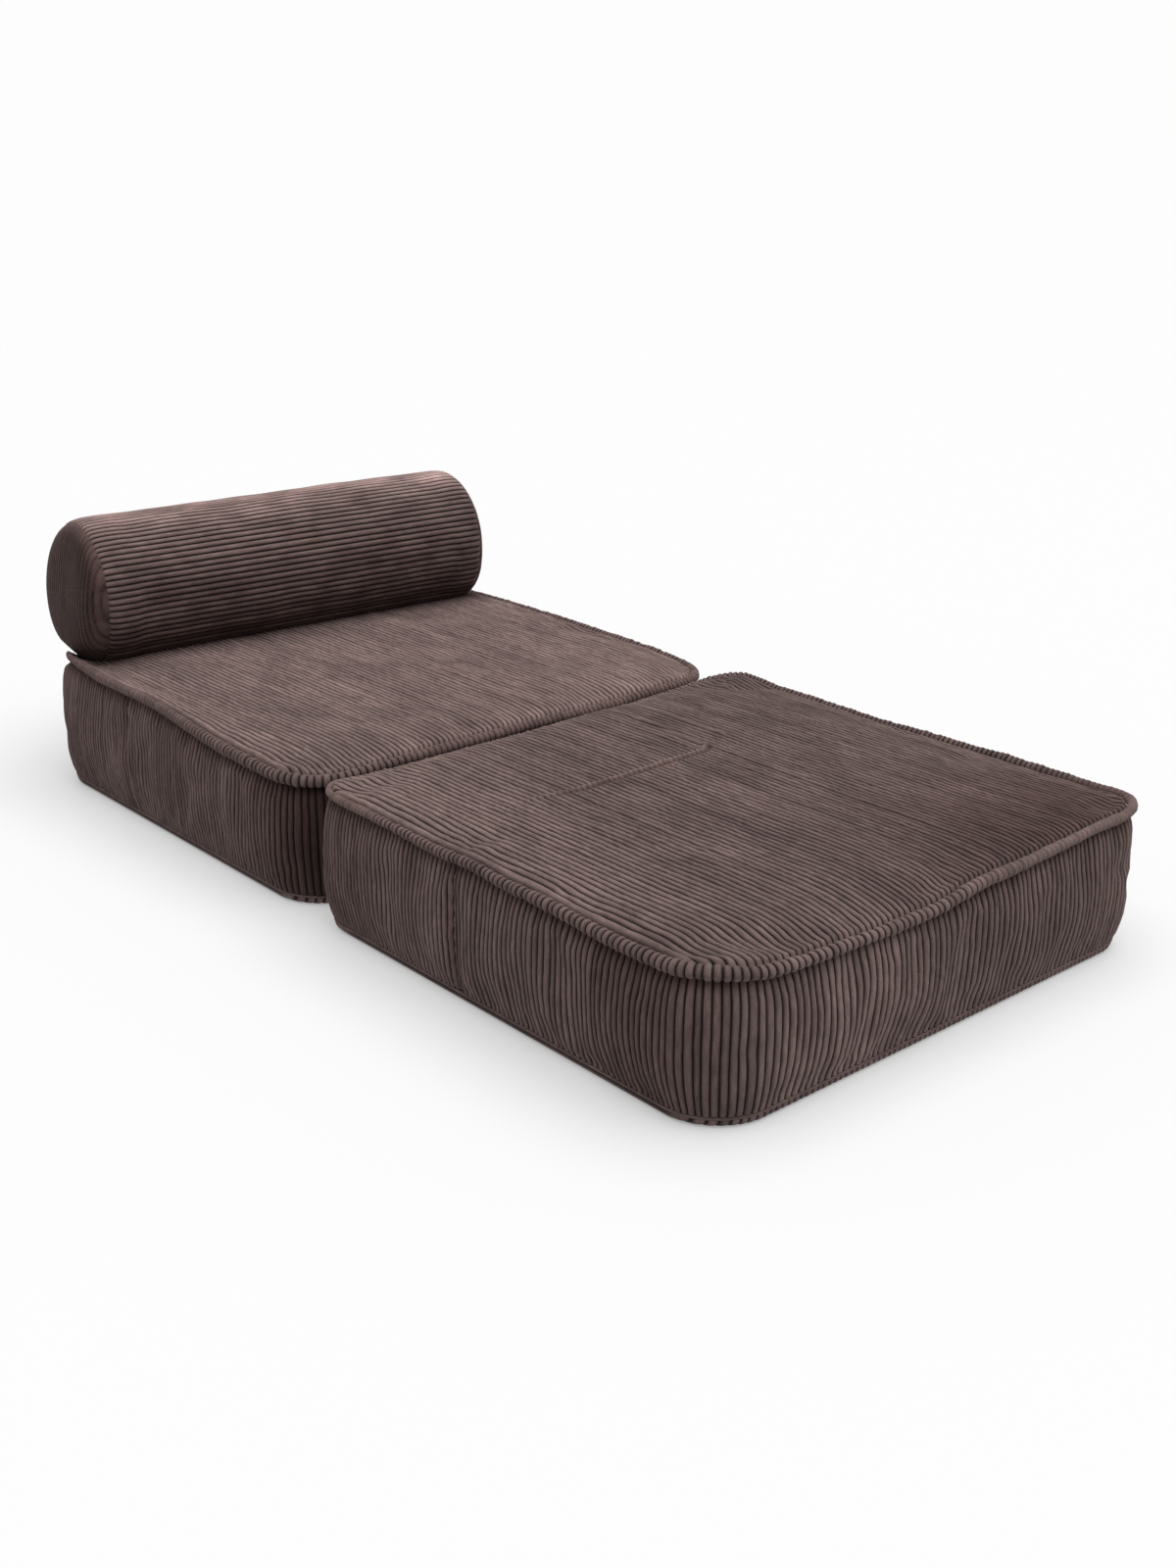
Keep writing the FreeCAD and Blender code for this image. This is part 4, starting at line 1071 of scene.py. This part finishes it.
# Undersides. A shallow tray of the same corduroy that curls up to the lower seam, with a slit
# near the hinge side for the zip.
TRAY_INSET, TRAY_FLAT, TRAY_RISE, TRAY_GROOVE = 0.011, 0.022, 0.011, 0.0018
LINING_IN = 0.0075
SLIT_HALF, SLIT_AT, SLIT_WIDE = 0.310, 0.090, 0.007
TRAY_ACROSS = np.array([0, 0.22, 0.5, 0.78])
TRAY_STEPS = np.array([0, 0.0015, 0.0035, 0.006, 0.009, 0.012, 0.018])
for block in BLOCKS:
    seed = 61 + BLOCKS.index(block)
    place, crest = wales(2 * (HALF_WIDTH - TRAY_INSET), seed, PANEL_PITCH[block], TRAY_ACROSS)
    length = LENGTH[block] - 2 * TRAY_INSET
    near, far = (SLIT_AT + side - START - TRAY_INSET for side in (-SLIT_WIDE, SLIT_WIDE))
    steps = np.concatenate([TRAY_STEPS, np.arange(0.026, near - 0.004, 0.009), [near, far],
                            np.arange(far + 0.009, length - 0.024, 0.012),
                            length - TRAY_STEPS[::-1]])
    x, y = panel_plan(block, TRAY_INSET, place, steps / length)
    t = np.clip((depth_in(block, x, y) - TRAY_INSET) / (TRAY_FLAT - TRAY_INSET), 0, 1)
    base = TRAY_RISE * (1 - np.sqrt(1 - (1 - t) ** 2))
    outer = stacked(x, y, base + TRAY_GROOVE * (1 - crest))
    inner = stacked(x, y, base + CLOTH)
    inner[..., 0] *= 1 - LINING_IN * (1 - t)
    inner[..., 1] += (START + LENGTH[block] / 2 - y) * LINING_IN * (1 - t)
    rows, columns = x.shape
    held = quads(rows, columns)
    middle = [values.ravel()[held].mean(1) for values in (x, y)]
    held = held[(np.abs(middle[0]) > SLIT_HALF) | (np.abs(middle[1] - SLIT_AT) > SLIT_WIDE)]
    sides = {tuple(face[[i, (i + 1) % 4]].tolist()) for face in held for i in range(4)}
    under = rows * columns
    rim = [[b, a, a + under, b + under] for a, b in sorted(sides) if (b, a) not in sides]
    weave = stacked(place, y, crest)
    tray = sew(f"{block}_underside", in_row(block, together(outer, inner)),
               held.tolist() + (held[:, ::-1] + under).tolist() + rim, weave)
    finish_piece(tray, corduroy, block, "corduroy", f"{block}_bottom_panel")


# Cloth hinge. One strip of strong plain cloth is sewn into the lower seams of both blocks and
# bends where they meet, so it is one piece here.
STRIP_HALF, STRIP_THICKNESS, BEND_HALF = 0.300, 0.0012, 0.006


def woven_material(name, dark, light, threads):
    """Plain woven cloth: two sets of threads that cross."""
    cloth, web, skin = new_material(name, Roughness=0.85)
    both = add_node(web, "ShaderNodeMath")
    both.operation = "MULTIPLY"
    for i, way in enumerate(("X", "Y")):
        wave = on_piece(web, "ShaderNodeTexWave", Scale=threads)
        wave.bands_direction = way
        web.links.new(wave.outputs["Fac"], both.inputs[i])
    tint(web, skin, both.outputs[0], dark, light, dent=0.0003)
    return cloth


canvas = woven_material("hinge_canvas", (0.010, 0.008, 0.008), (0.045, 0.035, 0.033), 420)
foot_end, head_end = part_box("foot_hinge_flap")[0].y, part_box("head_hinge_flap")[1].y
knots = np.array([(foot_end + 0.0006, 0.0124), (foot_end + 0.004, 0.0075),
                  (HINGE_Y - 0.0024, 0.0016), (HINGE_Y, 0.0010), (HINGE_Y + 0.0024, 0.0016),
                  (head_end - 0.004, 0.0075), (head_end - 0.0006, 0.0124)])
t = np.linspace(0, 6, 31)
line = np.stack([np.interp(t, range(7), knots[:, i]) for i in (0, 1)], -1)
line[1:-1] = (line[:-2] + 2 * line[1:-1] + line[2:]) / 4
across = np.linspace(-STRIP_HALF, STRIP_HALF, 121)
upper = stacked(across, line[:, :1], line[:, 1:] + STRIP_THICKNESS / 2)
lower = upper - np.array([0, 0, STRIP_THICKNESS])
strip = shell("hinge_strip", upper, lower, np.arange(len(across)))
strip.data.materials.append(canvas)
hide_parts("foot_hinge_flap", "head_hinge_flap")
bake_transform(strip)


# Zips. Each is a pair of woven tapes with a nylon coil sewn along both facing edges. The slider,
# its bail and the puller are die-cast metal, with a brushed and slightly worn plating.
TAPE_HALF, TAPE_GAP, TAPE_THICKNESS = 0.011, 0.0009, 0.0008
COIL_PITCH, COIL_OUT, COIL_UP, COIL_WIRE = 0.0018, 0.00125, 0.0008, 0.0004
COIL_OVERLAP = 0.85
tape_cloth = woven_material("zip_tape_weave", (0.012, 0.009, 0.009), (0.050, 0.039, 0.037), 700)

nylon, web, skin = new_material("zip_nylon", Roughness=0.42)
cloudy = on_piece(web, "ShaderNodeTexNoise", Scale=400)
tint(web, skin, cloudy.outputs["Fac"], (0.016, 0.012, 0.012), (0.048, 0.037, 0.035))

plated, web, skin = new_material("zip_plating", Metallic=1)
brushing = on_piece(web, "ShaderNodeMapping", Scale=(150, 2600, 2600))
scratches = add_node(web, "ShaderNodeTexNoise", Scale=1)
gloss = add_node(web, "ShaderNodeMapRange", To_Min=0.28, To_Max=0.46)
web.links.new(brushing.outputs["Vector"], scratches.inputs["Vector"])
web.links.new(scratches.outputs["Fac"], gloss.inputs["Value"])
web.links.new(gloss.outputs[0], skin.inputs["Roughness"])
tint(web, skin, scratches.outputs["Fac"], (0.20, 0.19, 0.18), (0.42, 0.40, 0.38), dent=0.00004)


def joined(halves, name):
    """Two pieces made into one."""
    bpy.ops.object.select_all(action="DESELECT")
    for half in halves:
        half.select_set(True)
    bpy.context.view_layer.objects.active = halves[0]
    bpy.ops.object.join()
    halves[0].name = halves[0].data.name = name
    halves[0].select_set(False)
    return halves[0]


def zip_up(body, middle, along, across, out, half):
    """A zip's tapes and coils about its middle, and the plating of its slider and puller."""
    along, across, out = (np.array(way) for way in (along, across, out))
    spots = np.linspace(-half, half, 63)
    rim = np.array([(TAPE_GAP, 0.3), (TAPE_GAP, -0.3), (0.0016, -0.5), (0.0060, -0.4),
                    (0.0100, -0.5), (TAPE_HALF, -0.2), (TAPE_HALF, 0.2), (0.0100, 0.5),
                    (0.0060, 0.4), (0.0016, 0.5)])
    strips = []
    for side in (-1, 1):
        edge = side * rim[:, :1] * across + rim[:, 1:] * TAPE_THICKNESS * out
        rings = np.array(middle) + spots[:, None, None] * along + edge
        strips.append(sew(f"{body}_tape", rings.reshape(-1, 3), closed_faces(*rings.shape[:2])))
    tapes = joined(strips, f"{body}_woven_tapes")
    for edge in tapes.data.polygons:
        edge.use_smooth = False
    finish_piece(tapes, tape_cloth, body, "zip_tape", f"{body}_zip_tapes")

    coils = []
    for side in (-1, 1):
        turn = np.arange(0, 2 * half / COIL_PITCH * 2 * math.pi, math.pi / 4)
        places = -half + turn / (2 * math.pi) * COIL_PITCH
        wound = turn + (math.pi if side > 0 else 0)
        core = side * COIL_OUT * COIL_OVERLAP
        sideways = side * (COIL_OUT * COIL_OVERLAP + COIL_OUT * np.cos(wound))
        upward = COIL_UP * np.sin(wound)
        rings = []
        for corner in range(4):
            bead = math.pi / 2 * corner
            reach, rise = 1 + 0.32 * math.cos(bead), 1 + 0.50 * math.cos(bead)
            rings.append(np.array(middle) + (places + COIL_WIRE * math.sin(bead))[:, None] * along
                         + (core + (sideways - core) * reach)[:, None] * across
                         + (upward * rise)[:, None] * out)
        rings = np.stack(rings, 1)
        coils.append(sew(f"{body}_coil", rings.reshape(-1, 3), closed_faces(*rings.shape[:2])))
    finish_piece(joined(coils, f"{body}_coils"), nylon, body, "zip_teeth", f"{body}_zip_teeth")
    for part in ("slider", "puller"):
        frame["nodes"][f"{body}_zip_{part}"].data.materials[0] = plated


ZIP_LEVEL = 0.0064
for block in BLOCKS:
    middle = in_row(block, np.array([[0, SLIT_AT, ZIP_LEVEL]]))[0]
    zip_up(block, middle, (1, 0, 0), (0, 1, 0), (0, 0, -1), SLIT_HALF)


# Bolster stuffing. A round bar of foam in a sleeve of wadding.
BOLSTER_TURN = math.radians(4.8)
BOLSTER_MIDDLE = np.array([0.017, HINGE_Y + 0.711, 0.3113])
BOLSTER_AXIS = np.array([math.cos(BOLSTER_TURN), -math.sin(BOLSTER_TURN), 0])
BOLSTER_BACK = np.array([math.sin(BOLSTER_TURN), math.cos(BOLSTER_TURN), 0])
BOLSTER_RADIUS, BOLSTER_END, BOLSTER_FLAT = 0.112, 0.107, 0.005
RIM, SHOULDER = 0.348, 0.026
BOLSTER_ROUND = np.linspace(0, 2 * math.pi, 97)[:-1]
BAR_END, BAR_ROUND, BAR_RADIUS = 0.345, 0.03, 0.0935
BOLSTER_SLACK, BOLSTER_RUMPLE = ripple(71, 0.14, 0.4), ripple(72, 0.05, 0.12)


def bolster_point(along, angle, radius):
    """A point of the bolster: along its axis, angle up from straight down towards the back."""
    along, angle, radius = np.broadcast_arrays(along, angle, radius)
    back, up = radius * np.sin(angle), -radius * np.cos(angle)
    up = np.maximum(up, -(BOLSTER_RADIUS - BOLSTER_FLAT) + (BOLSTER_RADIUS - radius) * 0.98)
    points = BOLSTER_MIDDLE + along[..., None] * BOLSTER_AXIS + back[..., None] * BOLSTER_BACK
    points[..., 2] += up
    return points


def bolster_settle(points):
    """Moves points of the bolster's cover as the cloth has settled."""
    away = points - BOLSTER_MIDDLE
    away -= (away @ BOLSTER_AXIS)[..., None] * BOLSTER_AXIS
    reach = np.maximum(np.linalg.norm(away, axis=-1), 1e-6)
    free = np.clip((points[..., 2] - 0.210) / 0.05, 0, 1)
    swell = 0.0010 * BOLSTER_SLACK(points) + 0.0007 * BOLSTER_RUMPLE(points)
    swell *= free * np.clip(reach / 0.1, 0, 1) ** 2
    moved = points + away / reach[..., None] * swell[..., None]
    low = np.clip((BOLSTER_MIDDLE[2] - points[..., 2]) / 0.10, 0, 1) ** 1.5
    low *= np.clip((0.03 - (points - BOLSTER_MIDDLE) @ BOLSTER_BACK) / 0.06, 0, 1)
    to_left = np.clip((-(points - BOLSTER_MIDDLE) @ BOLSTER_AXIS - 0.24) / 0.12, 0, 1)
    moved[..., 2] -= (0.009 + 0.002 * to_left) * low
    return moved - (0.012 * low)[..., None] * BOLSTER_BACK


def bolster_profile(along):
    """The bolster's radius along it: full in the middle and drawn in towards the seams."""
    t = np.clip((np.abs(along) - (RIM - SHOULDER)) / SHOULDER, 0, 1)
    return BOLSTER_RADIUS - (BOLSTER_RADIUS - BOLSTER_END) * (1 - np.sqrt(1 - 0.999 * t**2))


def closed_bar(name, along, radius):
    """A closed round bar of the bolster, from its radius at each place along it."""
    rings = bolster_settle(bolster_point(along[:, None], BOLSTER_ROUND, radius[:, None]))
    return sew(name, rings.reshape(-1, 3), closed_faces(*rings.shape[:2]))


ends = np.array([0, 0.004, 0.010, 0.018, BAR_ROUND])
along = np.concatenate([-BAR_END + ends, np.linspace(-0.28, 0.28, 29), BAR_END - ends[::-1]])
rounded = np.clip((np.abs(along) - 0.315) / BAR_ROUND, 0, 1)
bar = closed_bar("bolster_foam_bar", along, BAR_RADIUS - 0.010 * (1 - np.sqrt(1 - rounded**2)))
finish_piece(bar, foam, "bolster", "foam", "bolster_foam_core")

ZIP_ANGLE = math.radians(62)
SLEEVE_END, SLEEVE_GAP, SLEEVE_BORE = 0.341, 0.0065, 0.0950
along = np.linspace(-SLEEVE_END, SLEEVE_END, 41)[:, None]
by_zip = 0.002 * np.exp(-(((BOLSTER_ROUND - ZIP_ANGLE) / 0.16) ** 2))
radius = bolster_profile(along) - SLEEVE_GAP - by_zip
outer = bolster_settle(bolster_point(along, BOLSTER_ROUND, radius))
inner = bolster_settle(bolster_point(along, BOLSTER_ROUND, SLEEVE_BORE))
rows, columns = outer.shape[:2]
start, last = rows * columns, (rows - 1) * columns
faces = double_wall(rows, columns) + rim_faces(0, start, columns)
faces += [face[::-1] for face in rim_faces(last, start + last, columns)]
sleeve = sew("bolster_wadding", together(outer, inner), faces)
finish_piece(sleeve, fibre, "bolster", "fibre", "bolster_fibre_wrap")


# Bolster tube. One width of corduroy with its wales along the bolster, its two long edges turned
# in at the zip on the back. The wales' ends stand as small scallops at the end seams.
ZIP_HALF, ZIP_SLOT, HEM = 0.290, 0.007, 0.0042
HEM_LEAN, SLOT_CLOSES = 0.03, 0.012
RIM_STEPS = np.array([0, 0.0007, 0.0017, 0.0030, 0.0047, 0.0072, 0.0102, 0.0142, 0.0192, 0.0262,
                      0.0342])


def bolster_tone_and_light(points):
    """How light the bolster looks: a painted highlight along the top and painted shade over the
    underside, both stronger towards the right end, with patches of tone.
    """
    up = (points[..., 2] - BOLSTER_MIDDLE[2]) / BOLSTER_RADIUS
    back = (points - BOLSTER_MIDDLE) @ BOLSTER_BACK / BOLSTER_RADIUS
    # Painted highlight along the top (top) and painted shade low down (low).
    top = np.exp(-(((back + 0.15) / 0.42) ** 2)) * np.clip(up, 0, 1)
    low = np.clip((-0.25 - up) / 0.5, 0, 1)
    to_right = np.clip((points - BOLSTER_MIDDLE) @ BOLSTER_AXIS / 0.3, -0.3, 1)
    top = top * (1.25 + 0.45 * to_right)
    low = low + 0.45 * np.clip(to_right, 0, 1) * np.clip(0.6 - up, 0, 1)
    top = top * (1 + 0.5 * BOLSTER_RUMPLE(points))
    patches = 0.06 * BOLSTER_SLACK(points * 1.5) + 0.10 * BOLSTER_RUMPLE(points * 1.5)
    return 0.92 - 0.30 * low + 0.92 * top + patches


length = 2 * math.pi * BOLSTER_RADIUS
place, crest = wales(length, 73, ([0, 1], [10, 10]))
TUBE_HALF = RIM + 0.0012
along = np.concatenate([-TUBE_HALF + RIM_STEPS, np.arange(-0.306, 0.3065, 0.0076),
                        TUBE_HALF - RIM_STEPS[::-1]])[:, None]
gape = np.clip((ZIP_HALF + SLOT_CLOSES - np.abs(along)) / SLOT_CLOSES, 0.03, 1)
gape = ZIP_SLOT / BOLSTER_RADIUS * gape
turn = ZIP_ANGLE + gape + place / length * 2 * (math.pi - gape)
close = 0.004 * (1 - np.sqrt(np.clip((TUBE_HALF - np.abs(along)) / 0.0042, 0, 1)))
radius = bolster_profile(along) - WALE_DEPTH * (1 - crest) - close
lined = bolster_profile(along) - close - CLOTH
hem_turn, hem_radius = turn[:, [0, -1]], radius[:, [0, -1]] - HEM
tucked = hem_turn + [HEM_LEAN, -HEM_LEAN]
outer, hem, lining, back_of_hem, beside_hem = (
    bolster_settle(bolster_point(along, *at)) for at in (
        (turn, radius), (hem_turn, hem_radius), (turn[:, ::FINE], lined), (tucked, hem_radius),
        (tucked, lined)))
weave = stacked(place, along, crest)
tone_and_painted_light = add_turned_edge(bolster_tone_and_light(outer), 0)
outer = np.concatenate([hem[:, :1], outer, hem[:, 1:]], 1)
lining = np.concatenate([back_of_hem[:, :1], lining, back_of_hem[:, 1:]], 1)
lining[:, [1, -2]] = beside_hem
under = np.concatenate([[0], 1 + np.arange(0, len(place), FINE), [len(place) + 1]])
cover = shell("bolster_cover", outer, lining, under, add_turned_edge(weave, 0), tone_and_painted_light)
finish_piece(cover, corduroy, "bolster", "corduroy", "bolster_tube_cover")


ZIP_RADIUS, ZIP_SHIFT = 0.107, -0.003
middle = bolster_point(ZIP_SHIFT, ZIP_ANGLE, ZIP_RADIUS)
outward = math.sin(ZIP_ANGLE) * BOLSTER_BACK - np.array([0, 0, math.cos(ZIP_ANGLE)])
zip_up("bolster", middle, BOLSTER_AXIS, np.cross(outward, BOLSTER_AXIS), outward, ZIP_HALF)


# Bolster ends. A disc of corduroy is sewn into each end of the tube and domed by the stuffing,
# fuller low down, its wales upright.
CAP_STEPS = np.concatenate([[0.02], np.linspace(0.06, 0.9, 42),
                            [0.925, 0.945, 0.962, 0.976, 0.988, 0.996, 1.0]])
CAP_EDGE, CAP_BULGE = BOLSTER_END - 0.0012, {"left": 0.034, "right": 0.018}
CAP_PITCH, CAP_GROOVE, LINING_EVERY = 0.0086, 0.0014, 6
for side, name in ((-1, "left"), (1, "right")):
    step, turn = CAP_STEPS[:, None], np.linspace(0, 2 * math.pi, 421)[:-1]
    back, up = step * CAP_EDGE * np.sin(turn), -step * CAP_EDGE * np.cos(turn)
    phase = back / CAP_PITCH / np.sqrt(1 - 0.3 * (up / CAP_EDGE) ** 2)
    crest = (1 - np.abs(2 * (phase % 1) - 1) ** 2.6) ** 0.8
    dome = CAP_BULGE[name] * np.sqrt(1 - np.minimum(step, 1) ** 5) * (1 - 0.45 * up / CAP_EDGE)
    crest = crest + (1 - crest) * 0.5 * np.clip((step - 0.80) / 0.15, 0, 1)
    out = RIM + dome - CAP_GROOVE * (1 - crest) * np.clip((1 - step) / 0.05, 0, 1)
    outer = bolster_settle(bolster_point(side * out, turn, step * CAP_EDGE))
    inner = bolster_point(side * (RIM + dome - CLOTH), turn, np.minimum(step, 0.985) * CAP_EDGE)
    inner = bolster_settle(inner)[:, ::LINING_EVERY]
    rows, columns, lined = *outer.shape[:2], inner.shape[1]
    start = rows * columns
    faces = double_wall(rows, columns, lined)
    last, behind = (rows - 1) * columns, start + (rows - 1) * lined
    for c in range(lined):
        rim = [last + (c * LINING_EVERY + i) % columns for i in range(LINING_EVERY + 1)]
        faces.append(rim + [behind + (c + 1) % lined, behind + c])
    faces += [list(range(columns))[::-1], [start + i for i in range(lined)]]
    weave = stacked(back + 2 * side, up, crest)
    # Painted shade: the discs face away from the light, and the direction of their pile darkens
    # them too; they are lighter towards the rim.
    tone_and_painted_light = 0.34 + 0.30 * np.clip((step - 0.88) / 0.12, 0, 1) + 0 * outer[..., 0]
    cap = sew(f"bolster_{name}_disc", together(outer, inner), faces, weave, tone_and_painted_light)
    finish_piece(cap, corduroy, "bolster", "corduroy", f"bolster_{name}_cap")
